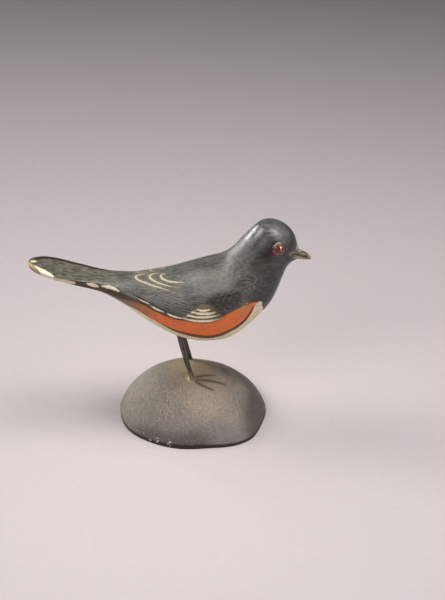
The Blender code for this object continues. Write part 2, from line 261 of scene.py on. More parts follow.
# The tail
TAIL_CORNER = (
    (2.0, 2.2), (3.0, 2.5), (4.4, 2.5), (6.2, 2.6), (7.6, 2.1), (8.9, 1.4), (9.5, 0.5), (9.3, -0.3),
    (8.4, -0.5), (6.1, -0.5), (4.6, -0.3), (4.1, 0.9), (3.0, 1.6),
)
TAIL_END = (
    (1.0, 2.0), (1.9, 2.0), (3.0, 1.5), (4.1, 0.9), (4.6, -0.3), (4.4, -2.0), (2.4, -2.0), (0.0, -2.0),
    (0.0, 2.0),
)
TAIL_SPOTS = (
    ((21.0, 0.45, 0.3), (22.4, 0.3, 0.58), (23.8, 0.25, 0.56), (24.9, 0.05, 0.22)),
    ((26.2, 0.7, 0.23), (27.4, 0.9, 0.47), (29.0, 1.3, 0.57), (30.6, 1.5, 0.49), (32.3, 1.5, 0.15)),
)
TAIL_PALE = (
    (9.6, 0.0, 0.25), (12.0, -0.05, 0.56), (14.8, -0.1, 0.58), (16.6, -0.1, 0.3),
)
TAIL_FAR_EDGE = (
    (1.2, 3.4, 0.44), (2.4, 2.8, 0.56), (5.0, 1.9, 0.7), (9.0, 1.7, 0.8), (15.0, 1.7, 0.8),
    (21.0, 1.7, 0.76), (27.0, 2.3, 0.6), (31.0, 3.0, 0.3),
)
TAIL_TOP_EDGE = (
    (8.9, 1.3, 0.1), (10.0, 0.95, 0.2), (13.0, 0.85, 0.2), (16.8, 0.75, 0.22), (19.2, 0.55, 0.22),
    (22.2, 0.75, 0.12), (26.6, 1.2, 0.12), (29.0, 1.9, 0.14), (32.0, 2.1, 0.14),
)
TAIL_DARK = (
    (16.9, 0.6), (19.2, 0.55), (21.2, 0.6), (24.2, 0.6), (26.6, 0.9), (28.8, 1.4), (31.8, 1.45),
    (33.9, 1.65), (36.1, 1.85), (38.6, 2.1), (40.7, 2.2), (38.5, 1.5), (36.0, 0.7), (33.9, -0.1),
    (31.7, -0.8), (29.6, -1.3), (27.5, -1.5), (25.4, -1.8), (22.0, -2.6), (22.0, -RIDGE), (14.5, -RIDGE),
    (15.2, -1.2), (16.9, -0.5),
)

# Small patches of paint, as (along, arc) places. The last three stand on one side, or on the ridge.
EYE_PLACE = (88.5, 2.55)
SPOTS = {
    "scuff": ((77.7, 3.6),),
    "smudge": ((85.4, 2.9),),
    # Painted sheen on the crown
    "crown": ((85.3, 11.7), (87.4, 9.5), (88.6, 8.2)),
    "eye_shade": ((85.2, 4.6), (84.6, 3.0), (86.3, 5.2)),
    # Painted highlight on the beak's root
    "beak_root": ((95.0, 2.65), (95.8, 2.35)),
    "beak_tip": ((99.6, 0.8),),
    "gape": ((92.4, 1.1), (93.3, 1.5)),
}
# Painted sheen: a paler patch on the shoulder, round these places
BLOOM_PLACES = ((60.1, 12.4), (62.9, 11.5), (65.8, 11.0), (68.6, 10.4), (70.9, 8.9))
NAPE_PLACES = ((80.5, 19.5), (77.7, 19.5), (75.6, 18.0), (73.8, 16.0))
TIP_PLACES = ((1.5, 3.7), (2.1, 4.5))

# Where paint and relief blend along the bird, in percent of its length. The hood's blend leans back above.
SPANS = {
    "tail tip": (0, 6),
    "tail spots": (12, 16),
    "tail": (24, 36),
    "rear": (31.5, 43),
    "dull rust": (38, 50),
    "halo": (46, 53),
    "wing": (54, 68),
    "patch": (63.5, 68.5),
    # Where the painted shade along the top of the flanks fades out
    "brim": (66, 74),
    "flank front": (73, 78),
    "beak": (93.5, 95),
}
HOOD_SPAN = (70, 86)
HOOD_LEAN = 0.05
DULL_SHARE = 0.40
OLD_TAIL_SHARE = 0.12
COMB_BARBS = 7.5

# Unevenness that the knife left: height and size of the waves in mm, and a seed. The filler's is a share of
# its height.
RIPPLE_WAVES = 7
BIRD_RIPPLE = (0.05, 7.0, 3)
WIRE_RIPPLE = (0.05, 2.4, 11)
EDGE_RIPPLES = ((0.06, 15.0, 5), (0.05, 4.0, 6))
DOME_RIPPLES = ((0.08, 9.0, 8), (0.03, 2.5, 9))
LUMP_RIPPLE = (0.25, 1.6, 12)

# Relief of the bird, in mm
MOUTH_DEPTH = 0.10
SOCKET_RADIUS = 2.6
SOCKET_WIDTH = 0.6
SOCKET_HEIGHT = 0.08

# The eyes. The edges of the paint and the ball, and the ring's place and width, are shares of the radius. The
# rest is in mm: heights, and places towards the beak and up.
EYE_RINGS = 26
EYE_SIDES = 56
EYE_OUTER = 1.12
EYE_BALL = 0.68
EYE_FULLNESS = 0.8
EYE_RING = 0.80
EYE_RING_WIDTH = 0.11
EYE_RING_HEIGHT = 0.14
EYE_LIFT = 0.05
SKIRT_SHARE = 0.98
SKIRT_DROP = 1.4
HEAD_CURVE = 15.6
CORNER_PLACE = (-1.55, -1.0)
# The glint and the streak under it are painted reflections on the eye's ball
GLINT_PLACE = (0.48, 0.36)
STREAK_PLACE = (0.42, -0.35)
STREAK_STRETCH = 2.2

# The wires: side, how far the foot and the top are off their straight place towards the beak, in mm, and how
# much the paint is rubbed
WIRES = {"left": (1, -0.45, 0.30, 0.3), "right": (-1, 0.36, 0.60, 0.85)}
WIRE_RINGS = 90
WIRE_SIDES = 28
WIRE_TOP_GAP = 2.0
WIRE_SUNK = 1.0
WIRE_BOW = 0.20
WIRE_SWELL = 0.06
WORN_HEIGHTS = (0.5, 8.0)
# How much paler the wire's tail side is painted, a painted highlight all down it
WORN_BEHIND = 0.25

# The base's rings under the dome, from the underside up its edge, and its lumps of filler, in mm
BASE_RINGS = 150
BASE_SIDES = 300
UNDERSIDE_SHARES = (0.9, 0.985)
EDGE_STEPS = (0.0, 0.0, 0.05, 0.22, 0.45, 0.65)
EDGE_SETBACK = 0.10
LUMP_RADIUS = 1.35
LUMP_HEIGHT = 0.75
FAR_LUMP = 0.45
FAR_TOE_SQUEEZE = 1.8

# Soft patches on the base: middle, stretch each way and radius. The first two are in shares of its reach, and
# the last in mm.
FLECK_SPOT = ((-0.16, -0.45), (1.0, 1.15), 0.36)
WARM_SPOT = ((0.14, -0.25), (1.0, 1.3), 0.46)
FEET_SPOT = ((-1.0, 1.5), (1.2, 1.2), 6.5)

# The stage: each light's name, place, watts and softness, and the view
LIGHTS = (
    ("key", (-0.55, 0.16, 0.50), 16.2, 0.22),
    ("top", (0.25, -0.05, 0.72), 35.5, 0.30),
    ("right", (0.60, 0.30, 0.50), 2.6, 0.28),
    ("right front", (0.65, -0.30, 0.35), 5.4, 0.20),
    ("left front", (-0.40, -0.55, 0.50), 7.6, 0.20),
    ("low", (-0.70, 0.36, 0.22), 1.0, 0.05),
    ("nape", (-0.50, 0.61, 0.15), 6.6, 0.11),
)
LIGHT_AIM = (0, -0.05, 0)
LIGHT_CONE = float(np.radians(50))
ROOM_COLOUR = (0.93, 0.94, 1.0, 1)
ROOM_STRENGTH = 0.05
FLOOR_HALF = 3.0
TOOTH_SHADE = 0.97
VIEW_MIDDLE = (9.125, 0.0, 39.92)
VIEW_WIDTH = 0.18018
SENSOR_WIDTH = 36.0


def linear(red, green, blue):
    """A colour in the 0 to 255 display scale, as the linear values that shaders use."""
    shares = (red / 255, green / 255, blue / 255)
    return tuple(((v + 0.055) / 1.055) ** 2.4 if v > 0.04045 else v / 12.92 for v in shares)


def colour(name, description, red, green, blue):
    return bpy.props.FloatVectorProperty(
        name=name, description=description, subtype="COLOR", min=0, max=1, default=linear(red, green, blue)
    )


def tints(**values):
    """Named paints from their display values."""
    return {name: linear(*value) for name, value in values.items()}


# Paints mixed into the main ones. Those of a kept field, stroke or place have its name.
PLUMAGE_TINTS = tints(
    back_low=(52, 52, 52),
    tail_low=(60, 56, 50),
    hood_high=(82, 80, 74),
    hood_brush=(112, 106, 100),
    mossy=(92, 86, 70),
    # Painted sheen on the shoulder
    bloom=(140, 138, 130),
    brush_high=(152, 149, 139),
    brush_low=(42, 41, 40),
    dashes=(44, 42, 42),
    speck=(36, 35, 35),
    scuff_low=(74, 68, 67),
    scuff_high=(156, 145, 141),
    smudge=(96, 36, 36),
    # Painted sheen on the crown, in darker and lighter streaks
    crown_low=(88, 86, 82),
    crown_high=(142, 139, 132),
    eye_shade=(32, 32, 32),
    far_edge=(46, 35, 27),
    comb_gap=(52, 50, 48),
    comb_barb=(142, 141, 133),
    halo=(124, 112, 94),
    underwing_low=(44, 42, 40),
    underwing_high=(88, 84, 79),
    scallops=(19, 18, 19),
    rust_high=(250, 160, 88),
    rust_low=(184, 80, 32),
    rust_rear=(148, 108, 70),
    rust_last=(132, 112, 88),
    # Painted shade along the top of the flanks, under the wings
    brim=(132, 92, 62),
    flank_front=(186, 136, 106),
    cream_low=(226, 204, 164),
    cream_rear=(204, 184, 158),
    wing_border=(56, 44, 33),
    band_front=(92, 74, 58),
    band_rear=(68, 52, 40),
    tail_pale=(228, 210, 178),
    tail_end=(180, 150, 114),
    tip=(236, 222, 190),
    patch_cap=(120, 109, 92),
    margin=(190, 174, 150),
    faint=(176, 168, 148),
    feather=(198, 184, 158),
    old_cream=(158, 136, 104),
    lenses=(66, 56, 36),
    horn_low=(92, 79, 58),
    beak_low=(172, 150, 132),
    # Painted highlight on the beak's root
    beak_root=(226, 208, 176),
    beak_tip=(190, 160, 126),
    gape=(134, 122, 106),
    mouth=(24, 17, 13),
)
EYE_TINTS = tints(
    ball_middle=(42, 16, 15),
    ball_edge=(108, 48, 42),
    ball_pale=(146, 82, 72),
    ball_dark=(44, 24, 24),
    rim_low=(166, 116, 104),
    rim_high=(186, 146, 136),
    rim_front=(118, 76, 72),
    rim_gap=(70, 46, 44),
    groove=(48, 28, 28),
    outside=(50, 45, 43),
    corner=(150, 30, 28),
    # Painted reflections on the ball: a reddish streak under a near white glint
    streak=(206, 128, 108),
    glint=(252, 232, 214),
)
BASE_TINTS = tints(
    moss_low=(116, 109, 100),
    cool=(108, 111, 108),
    low=(118, 111, 113),
    warm=(170, 150, 131),
    feet=(176, 153, 122),
    shade=(56, 52, 52),
    pit=(66, 62, 58),
    crack=(70, 64, 58),
    # Painted highlights: pale spots on the filler lumps
    filler=(232, 214, 186),
    rim=(30, 21, 19),
    chip=(206, 192, 170),
)
WIRE_STREAK = linear(104, 98, 84)


class BirdSettings(bpy.types.PropertyGroup):
    """Size and paints of the bird."""

    length: bpy.props.FloatProperty(
        name="Length", description="Tail tip to beak tip", unit="LENGTH", default=BIRD_HIGH.x - BIRD_LOW.x
    )
    belly_height: bpy.props.FloatProperty(
        name="Belly height", description="Floor to the bottom of the belly", unit="LENGTH", default=27.6 * MM
    )
    stations: bpy.props.IntProperty(
        name="Stations", description="Cross-sections from tail to beak", default=340
    )
    sides: bpy.props.IntProperty(name="Sides", description="Points round a cross-section", default=280)
    wing_relief: bpy.props.FloatProperty(
        name="Wing relief", description="How far the wings stand out", unit="LENGTH", default=0.14 * MM
    )
    slate: colour("Slate", "Back and wings", 103, 100, 92)
    coal: colour("Coal", "Head and breast", 41, 40, 39)
    drab: colour("Drab", "Top of the tail", 112, 105, 94)
    rust: colour("Rust", "Middle of the flanks", 240, 116, 44)
    dull_rust: colour("Dull rust", "Flanks towards the tail and at their edges", 182, 108, 60)
    cream: colour("Cream", "Belly, feather edges and tail spots", 250, 236, 204)
    umber: colour("Umber", "Outline under the flanks", 84, 34, 6)
    olive: colour("Olive", "Ground of the barred wing patch", 106, 92, 60)
    horn: colour("Horn", "Beak", 114, 98, 75)
    eye_height: bpy.props.FloatProperty(
        name="Eye height", description="How far the eyes stand out", unit="LENGTH", default=0.42 * MM
    )
    eye_diameter: bpy.props.FloatProperty(
        name="Eye diameter", description="Outer ring of the eye", unit="LENGTH", default=4.1 * MM
    )


class LegSettings(bpy.types.PropertyGroup):
    """Size and paint of the wire legs."""

    diameter: bpy.props.FloatProperty(
        name="Diameter", description="Thickness of the wire", unit="LENGTH", default=1.56 * MM
    )
    spacing: bpy.props.FloatProperty(
        name="Spacing", description="Between the middles of the wires", unit="LENGTH", default=11.2 * MM
    )
    lean: bpy.props.FloatProperty(
        name="Lean", description="From upright to the tail", subtype="ANGLE", default=float(np.radians(14.2))
    )
    soot: colour("Soot", "Paint on the wire", 44, 40, 36)
    # Also the paint of the painted highlight down the wire's tail side
    worn: colour("Worn", "Where the paint has rubbed thin near the foot", 138, 113, 88)


class BaseSettings(bpy.types.PropertyGroup):
    """Paints of the base."""

    moss: colour("Moss", "Thin paint over the wood", 144, 131, 116)
    tan: colour("Tan", "Rubbed wood", 200, 180, 152)
    # Painted shade: the Shadow paint darkens the dome's beak side and the far part of it, under the bird
    shadow: colour("Shadow", "Thick paint at the sides and the rim", 62, 53, 48)
    toe: colour("Toe", "Painted toes", 58, 46, 34)


class StageSettings(bpy.types.PropertyGroup):
    """Floor, camera and lights."""

    floor: colour("Floor", "Pale floor", 186, 177, 176)
    distance: bpy.props.FloatProperty(
        name="Distance", description="Camera to the middle of the view", unit="LENGTH", default=0.7
    )
    look_down: bpy.props.FloatProperty(
        name="Look down", description="Camera below level", subtype="ANGLE", default=float(np.radians(31))
    )


def settings(name):
    return getattr(bpy.context.scene, name)


# Shapes


def soft_line(points, samples=LINE_SAMPLES):
    """A cubic B-spline drawn towards the points, which starts and ends on the first and the last one."""
    p = np.asarray(points, float)
    p = np.vstack([2 * p[0] - p[1], p, 2 * p[-1] - p[-2]])
    t = np.linspace(0, len(p) - 3 - 1e-9, samples)
    first = t.astype(int)
    u = (t - first)[:, None]
    weights = ((1 - u) ** 3, 3 * u**3 - 6 * u**2 + 4, 3 * (u + u**2 - u**3) + 1, u**3)
    return sum(w * p[first + k] for k, w in enumerate(weights)) / 6


def read_line(points, along):
    """Height or half width in mm at these percents of the bird's length."""
    line = soft_line(points)
    percent = np.interp(along, np.maximum.accumulate(line[:, 0]), line[:, 1])
    return percent * settings("bird").length / MM / 100


def ease(value, low, high):
    """0 below low, 1 above high and an S-shaped rise between them."""
    t = np.clip((value - low) / (high - low), 0, 1)
    return t * t * (3 - 2 * t)


def hump(distance, width):
    """The bell curve exp(-(distance / width) ^ 2)."""
    return np.exp(-((distance / width) ** 2))


def bird_points(along, turn):
    """Places on the bird, in mm. turn goes round the section from 0 at the left side over the back. The oval
    is y = w cos(turn) ^ p and z = h sin(turn) ^ p about the widest point."""
    bird = settings("bird")
    along, turn = np.broadcast_arrays(np.asarray(along, float), np.asarray(turn, float))
    top = read_line(BACK_LINE, along)
    bottom = np.minimum(read_line(BELLY_LINE, along), top - LEAST_THICKNESS)
    margin = LEAST_REACH * (top - bottom)
    middle = np.clip(read_line(SIDE_LINE, along), bottom + margin, top - margin)
    slab = 1 - ease(along, *SLAB_SPAN)
    swell = BREAST_SWELL * ease(along, *BREAST_SPANS[0]) * (1 - ease(along, *BREAST_SPANS[1]))
    across, up = np.cos(turn), np.sin(turn)
    power = 2 / (OVAL_POWER + np.where(up > 0, *SLAB_POWERS) * slab**1.5)
    reach = np.where(up > 0, top - middle, middle - bottom)
    widening = 1 + np.where(up < 0, swell, 0) * up**2
    x = along / 100 * bird.length / MM + BIRD_LOW.x / MM
    y = read_line(PLAN_LINE, along) * np.sign(across) * np.abs(across) ** power * widening
    z = bird.belly_height / MM + middle + reach * np.sign(up) * np.abs(up) ** power
    return np.stack([x, y, z], axis=-1)


def side_points(marks):
    """Places of (along, arc) marks on the bird's right side, in mm, or a little past the ridge."""
    marks = np.asarray(marks, float)
    above = np.linspace(np.pi / 2 - PAST_RIDGE, np.pi, UPPER_SAMPLES, endpoint=False)
    turn = np.concatenate([above, np.linspace(np.pi, 3 * np.pi / 2, LOWER_SAMPLES)])
    sections = bird_points(marks[:, :1], turn[None, :])
    arcs = arc_lengths(sections, UPPER_SAMPLES)
    arcs, sections = arcs[:, ::-1], sections[:, ::-1]
    rows = zip(marks[:, 1], arcs, sections)
    return np.array([[np.interp(arc, row, section[:, k]) for k in range(3)] for arc, row, section in rows])


def arc_lengths(sections, widest):
    """Length along each section from the point with this index, in mm: the sum of the steps between points,
    positive before it and negative after."""
    steps = np.linalg.norm(np.diff(sections, axis=1, prepend=sections[:, :1]), axis=-1)
    total = np.cumsum(steps, axis=1)
    return total[:, widest, None] - total


def even_stations(count):
    """Places along the bird that crowd together where its lines are steep."""
    along = np.linspace(0, 100, LINE_SAMPLES)
    steps = [np.diff(along) * settings("bird").length / MM / 100]
    steps += [np.diff(read_line(line, along)) for line in (BACK_LINE, BELLY_LINE, PLAN_LINE)]
    measure = np.concatenate([[0], np.cumsum(np.sqrt(sum(s**2 for s in steps)))])
    return np.interp(np.linspace(0, measure[-1], count), measure, along)


def even_turns(along, count):
    """Turn angles that cut each quarter of each section into steps of equal length."""
    turns = []
    for quarter in range(4):
        fine = np.linspace(quarter, quarter + 1, QUARTER_SAMPLES) * np.pi / 2
        points = bird_points(along[:, None], fine[None, :])
        length = np.cumsum(np.linalg.norm(np.diff(points, axis=1, prepend=points[:, :1]), axis=-1), axis=1)
        shares = np.arange(count // 4) / (count // 4)
        turns.append(np.array([np.interp(shares * row[-1], row, fine) for row in length]))
    return np.concatenate(turns, axis=1)


def normals_of(points):
    """Directions out of a closed tube of points, from the cross product of its two grid directions."""
    forward = np.gradient(points, axis=0)
    around = np.roll(points, -1, axis=1) - np.roll(points, 1, axis=1)
    normal = np.cross(around, forward)
    return normal / np.maximum(np.linalg.norm(normal, axis=-1, keepdims=True), 1e-9)


def ripple(points, height, size, seed):
    """A gentle unevenness up to this height: a mean of sine waves of about this size in directions fixed by
    the seed."""
    draw = np.random.default_rng(seed)
    total = np.zeros(points.shape[:-1])
    for _ in range(RIPPLE_WAVES):
        wave = draw.normal(size=3)
        wave *= draw.uniform(0.7, 1.5) * 2 * np.pi / size / np.linalg.norm(wave)
        total += np.sin(points @ wave + draw.uniform(0, 2 * np.pi))
    return height * (total / RIPPLE_WAVES)


def make_mesh(name, points):
    """A mesh from a grid of rings, in mm, whose ends are closed by a fan to their middle."""
    rings, sides = points.shape[:2]
    index = np.arange(rings * sides).reshape(rings, sides)
    low, high = index[:-1], index[1:]
    quads = np.stack([low, high, np.roll(high, -1, 1), np.roll(low, -1, 1)], axis=-1).reshape(-1, 4)
    ends = [points[0].mean(0), points[-1].mean(0)]
    vertices = np.concatenate([points.reshape(-1, 3), ends]) * MM
    start = np.stack([np.full(sides, rings * sides), index[0], np.roll(index[0], -1)], axis=-1)
    stop = np.stack([np.full(sides, rings * sides + 1), np.roll(index[-1], -1), index[-1]], axis=-1)
    mesh = bpy.data.meshes.new(name)
    mesh.from_pydata(vertices.tolist(), [], quads.tolist() + start.tolist() + stop.tolist())
    mesh.shade_smooth()
    obj = bpy.data.objects.new(name, mesh)
    bpy.context.scene.collection.objects.link(obj)
    return obj


def store(obj, name, values):
    """Keep a value for each point of a ringed mesh. The two end points take the mean of their ring."""
    flat = np.concatenate([values.ravel(), [values[0].mean(), values[-1].mean()]])
    attribute = obj.data.attributes.new(name, "FLOAT", "POINT")
    attribute.data.foreach_set("value", flat.astype(np.float32))


def finish_piece(obj, material, slot, *nodes):
    obj.data.materials.append(material)
    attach(obj, "root")
    if nodes:
        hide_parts(*nodes)


# Painted marks


def pairs(line):
    return zip(line[:-1], line[1:])


def segment(places, a, b):
    """Where the nearest point of the line from a to b lies, as a share of it, and how far away it is."""
    share = np.clip((places - a) @ (b - a) / max((b - a) @ (b - a), 1e-9), 0, 1)
    return share, np.linalg.norm(places - a - share[..., None] * (b - a), axis=-1)


def stroke_depth(places, strokes, reach):
    """How far inside the nearest stroke each place lies, in mm: half width minus the distance to its line."""
    depth = np.full(places.shape[:-1], -float(reach))
    for stroke in strokes:
        line = soft_line(stroke, STROKE_SAMPLES)
        path, width = side_points(line[:, :2]), line[:, 2:]
        near = ((places > path.min(0) - reach) & (places < path.max(0) + reach)).all(-1)
        found = places[near]
        best = depth[near]
        for a, b in pairs(np.hstack([path, width])):
            share, gap = segment(found, a[:3], b[:3])
            best = np.maximum(best, a[3] + share * (b[3] - a[3]) - gap)
        depth[near] = best
    return depth


def field_depth(places, along, arc, outline):
    """How far inside an outlined field each place lies, in mm, and negative outside. The even-odd rule on
    (along, arc) gives the sign."""
    closed = np.array([*outline, outline[0]], float)
    inside = np.zeros(along.shape, bool)
    for (a0, m0), (a1, m1) in pairs(closed):
        crosses = (arc > m0) != (arc > m1)
        inside ^= crosses & (along < a0 + (arc - m0) * (a1 - a0) / (m1 - m0 if m1 != m0 else 1))
    steps = np.linspace(0, 1, FIELD_STEPS, endpoint=False)[:, None]
    fine = np.concatenate([a + steps * (b - a) for a, b in pairs(closed)] + [closed[:1]])
    path = side_points(fine)
    hidden = np.abs(fine[:, 1]) > RIDGE / 2
    gap = np.full(places.shape[:-1], FIELD_REACH)
    for i, (a, b) in enumerate(pairs(path)):
        if hidden[i] or hidden[i + 1]:
            continue
        near = (np.abs(places - (a + b) / 2) < FIELD_REACH / 2).all(-1)
        gap[near] = np.minimum(gap[near], segment(places[near], a, b)[1])
    return np.where(inside, gap, -gap)


# Materials


class Recipe:
    """A material under way, with short names for the nodes that it joins."""

    def __init__(self, name):
        self.material = bpy.data.materials.new(name)
        self.material.use_nodes = True
        self.tree = self.material.node_tree
        self.shader = self.tree.nodes["Principled BSDF"]
        self.place = self.stretched(self.node("ShaderNodeTexCoord").outputs["Object"], (1 / MM,) * 3)

    def put(self, socket, value):
        if isinstance(value, bpy.types.NodeSocket):
            self.tree.links.new(value, socket)
        elif hasattr(value, "__len__") and socket.type == "RGBA":
            socket.default_value = (*value[:3], 1)
        else:
            socket.default_value = value

    def node(self, kind, **inputs):
        node = self.tree.nodes.new(kind)
        for name, value in inputs.items():
            self.put(node.inputs[name], value)
        return node

    def stretched(self, vector, scale):
        """Places scaled along each axis. A grain runs along the axis that is scaled the least."""
        return self.node("ShaderNodeMapping", Vector=vector, Scale=scale).outputs[0]

    def mark(self, name):
        """A value kept on the mesh."""
        node = self.tree.nodes.new("ShaderNodeAttribute")
        node.attribute_name = name
        return node.outputs["Fac"]

    def math(self, operation, a, b=0.0, c=0.0):
        node = self.tree.nodes.new("ShaderNodeMath")
        node.operation = operation
        for socket, value in zip(node.inputs, (a, b, c)):
            self.put(socket, value)
        return node.outputs[0]

    def times(self, a, b, plus=0.0):
        return self.math("MULTIPLY_ADD", a, b, plus)

    def centred(self, value):
        """Values about 0 from values about 0.5."""
        return self.math("SUBTRACT", value, 0.5)

    def step(self, value, low, high, start=0.0, end=1.0):
        """A smooth step from start at low to end at high."""
        node = self.tree.nodes.new("ShaderNodeMapRange")
        node.interpolation_type = "SMOOTHSTEP"
        ends = {"Value": value, "From Min": low, "From Max": high, "To Min": start, "To Max": end}
        for name, end_value in ends.items():
            self.put(node.inputs[name], end_value)
        return node.outputs[0]

    def noise(self, scale, detail=3.0, roughness=0.55, stretch=(1, 1, 1)):
        """Cloudy values about 0.5. scale is in waves per mm."""
        vector = self.stretched(self.place, stretch)
        node = self.node("ShaderNodeTexNoise", Vector=vector, Scale=scale, Detail=detail, Roughness=roughness)
        return node.outputs["Fac"]

    def crackle(self, scale, stretch):
        """Distance to the nearest edge of uneven cells. scale is in cells per mm."""
        node = self.node("ShaderNodeTexVoronoi", Vector=self.stretched(self.place, stretch), Scale=scale)
        node.feature = "DISTANCE_TO_EDGE"
        return node.outputs["Distance"]

    def mix(self, share, a, b):
        node = self.tree.nodes.new("ShaderNodeMix")
        node.data_type = "RGBA"
        for socket, value in zip((node.inputs["Factor"], node.inputs[6], node.inputs[7]), (share, a, b)):
            self.put(socket, value)
        return node.outputs[2]

    def finish(self, base, roughness, height, depth, coat=0.0, coat_roughness=0.3, specular=0.5):
        """Join the colour, the roughness and a relief of this depth, in mm, to the shader."""
        bump = self.node("ShaderNodeBump", Height=height, Strength=1.0, Distance=depth * MM)
        inputs = {
            "Base Color": base,
            "Roughness": roughness,
            "Normal": bump.outputs[0],
            "Coat Weight": coat,
            "Coat Roughness": coat_roughness,
            "Specular IOR Level": specular,
        }
        for name, value in inputs.items():
            self.put(self.shader.inputs[name], value)
        return self.material


def plumage_paint():
    """Oil paint of the bird: brushed dark plumage with rust flanks, a cream belly and cream feather edges."""
    bird = settings("bird")
    tint = PLUMAGE_TINTS
    r = Recipe("plumage paint")
    wander = r.centred(r.noise(2.2, 3))

    def worn_step(name, low=-0.11, high=0.13, unevenness=0.5):
        """1 inside a kept field or stroke and 0 outside, with an uneven hand-painted edge."""
        return r.step(r.times(wander, unevenness, r.mark(name)), low, high)

    def near(name, radius, share):
        """share at a marked place, fading to 0 at this distance in mm."""
        return r.step(r.mark(name), radius, 0.2 * radius, 0, share)

    def lay(skin, name, share=1.0, unevenness=0.5):
        """The tint of this name over the skin, inside the field or the strokes of this name."""
        return r.mix(r.times(worn_step(name, unevenness=unevenness), share), skin, tint[name])

    def dab(skin, name, radius, share):
        """The tint of this name over the skin, close to the places of this name."""
        return r.mix(near(name, radius, share), skin, tint[name])

    # Dark plumage, brushed along the body: grey on the back, drab on the tail and near black on the hood
    streaks = r.noise(1.0, 4, 0.6, (0.30, 1.5, 1.5))
    fine = r.noise(1.0, 3, 0.6, (0.6, 2.8, 2.8))
    clouds = r.noise(0.14, 3, 0.5)
    specks = r.noise(2.6, 2, 0.5)
    hood = r.step(r.times(r.centred(streaks), 0.8, r.mark("hood")), -0.05, 1.05)
    tone = r.times(streaks, 0.6, r.times(clouds, 0.4))
    back = r.mix(r.step(tone, 0.36, 0.60), tint["back_low"], bird.slate)
    tail = r.mix(r.step(streaks, 0.36, 0.60), tint["tail_low"], bird.drab)
    black = r.mix(r.step(tone, 0.38, 0.64), bird.coal, tint["hood_high"])
    black = r.mix(r.step(fine, 0.58, 0.74, 0, 0.30), black, tint["hood_brush"])
    dark = r.mix(r.mark("tail"), back, tail)
    dark = r.mix(r.step(r.noise(0.22, 2), 0.5, 0.68, 0, 0.35), dark, tint["mossy"])
    # Painted sheen: a paler patch on the shoulder
    dark = dab(dark, "bloom", 5.5, 0.42)
    dark = r.mix(r.step(fine, 0.54, 0.72, 0, 0.46), dark, tint["brush_high"])
    dark = r.mix(r.step(fine, 0.46, 0.30, 0, 0.48), dark, tint["brush_low"])
    dark = lay(dark, "dashes", 0.6, unevenness=0.8)
    dark = r.mix(hood, dark, black)
    dark = r.mix(r.step(specks, 0.36, 0.27, 0, 0.35), dark, tint["speck"])
    mauve = r.mix(r.step(fine, 0.44, 0.62), tint["scuff_low"], tint["scuff_high"])
    dark = r.mix(near("scuff", 5.2, 0.76), dark, mauve)
    dark = dab(dark, "smudge", 1.8, 0.75)
    # Painted sheen: a paler streaky patch on the crown
    worn = r.mix(r.step(streaks, 0.42, 0.62), tint["crown_low"], tint["crown_high"])
    dark = r.mix(near("crown", 5.5, 0.34), dark, worn)
    dark = dab(dark, "eye_shade", 2.6, 0.6)
    dark = lay(dark, "far_edge", 0.92)

    # Combed barbs on the lower wing, broken by the brush
    comb = r.times(r.noise(0.35, 2, 0.5, (0.4, 1, 1)), 0.9, r.mark("comb"))
    wave = r.math("SINE", r.times(comb, 2 * np.pi))
    here = r.mark("comb_here")
    broken = r.step(r.noise(0.8, 3, 0.6, (0.5, 1.6, 1.6)), 0.36, 0.62, 0.25, 1)
    for low, high, share, name in ((-0.05, -0.9, 0.42, "comb_gap"), (0.2, 0.95, 0.40, "comb_barb")):
        line = r.times(r.times(r.step(wave, low, high), here), broken)
        dark = r.mix(r.times(line, share), dark, tint[name])
    dark = r.mix(r.times(r.mark("halo"), 0.45), dark, tint["halo"])

    # The dark underwing with its scallops
    under = r.mix(r.step(fine, 0.46, 0.66), tint["underwing_low"], tint["underwing_high"])
    dark = r.mix(r.times(worn_step("underwing", -0.7, 1.0, 2.6), 0.8), dark, under)
    dark = lay(dark, "scallops", 0.85)

    # Flanks and belly
    warmth = r.math("SUBTRACT", r.noise(0.6, 3, 0.6, (0.5, 1.2, 1.2)), r.mark("flank_dull"))
    rust = r.mix(r.step(warmth, 0.12, 0.50), bird.dull_rust, bird.rust)
    rust = r.mix(r.step(fine, 0.54, 0.72, 0, 0.36), rust, tint["rust_high"])
    rust = r.mix(r.step(fine, 0.46, 0.32, 0, 0.40), rust, tint["rust_low"])
    rust = r.mix(r.step(r.mark("rear"), 0.0, 0.55), rust, tint["rust_rear"])
    rust = r.mix(r.step(r.mark("rear"), 0.5, 1.0), rust, tint["rust_last"])
    strands = r.times(r.math("SUBTRACT", r.noise(1.0, 4, 0.6, (0.25, 2.2, 2.2)), 0.54), 4.5)
    ragged = r.times(strands, r.mark("flank_front"), r.mark("flank"))
    flank = r.step(r.times(wander, 0.5, ragged), -0.12, 0.14)
    # Painted shade: a darker band along the top edge of the flanks, under the wings
    brim = r.step(r.times(wander, 0.6, r.mark("flank")), 0.8, 0.2, 0, 0.8)
    rust = r.mix(r.times(brim, r.mark("brim")), rust, tint["brim"])
    front = r.times(r.mark("flank_front"), r.step(fine, 0.38, 0.60, 0.40, 0.95))
    rust = r.mix(front, rust, tint["flank_front"])
    skin = r.mix(flank, dark, rust)
    cream = r.mix(r.step(r.noise(0.7, 4), 0.3, 0.7), tint["cream_low"], bird.cream)
    cream = r.mix(r.step(r.mark("rear"), 0.0, 0.7, 0, 0.35), cream, tint["cream_rear"])
    skin = r.mix(worn_step("belly"), skin, cream)
    skin = r.mix(r.times(worn_step("flank_line", unevenness=0.4), 0.9), skin, bird.umber)
    skin = lay(skin, "wing_border", 0.85, unevenness=0.35)

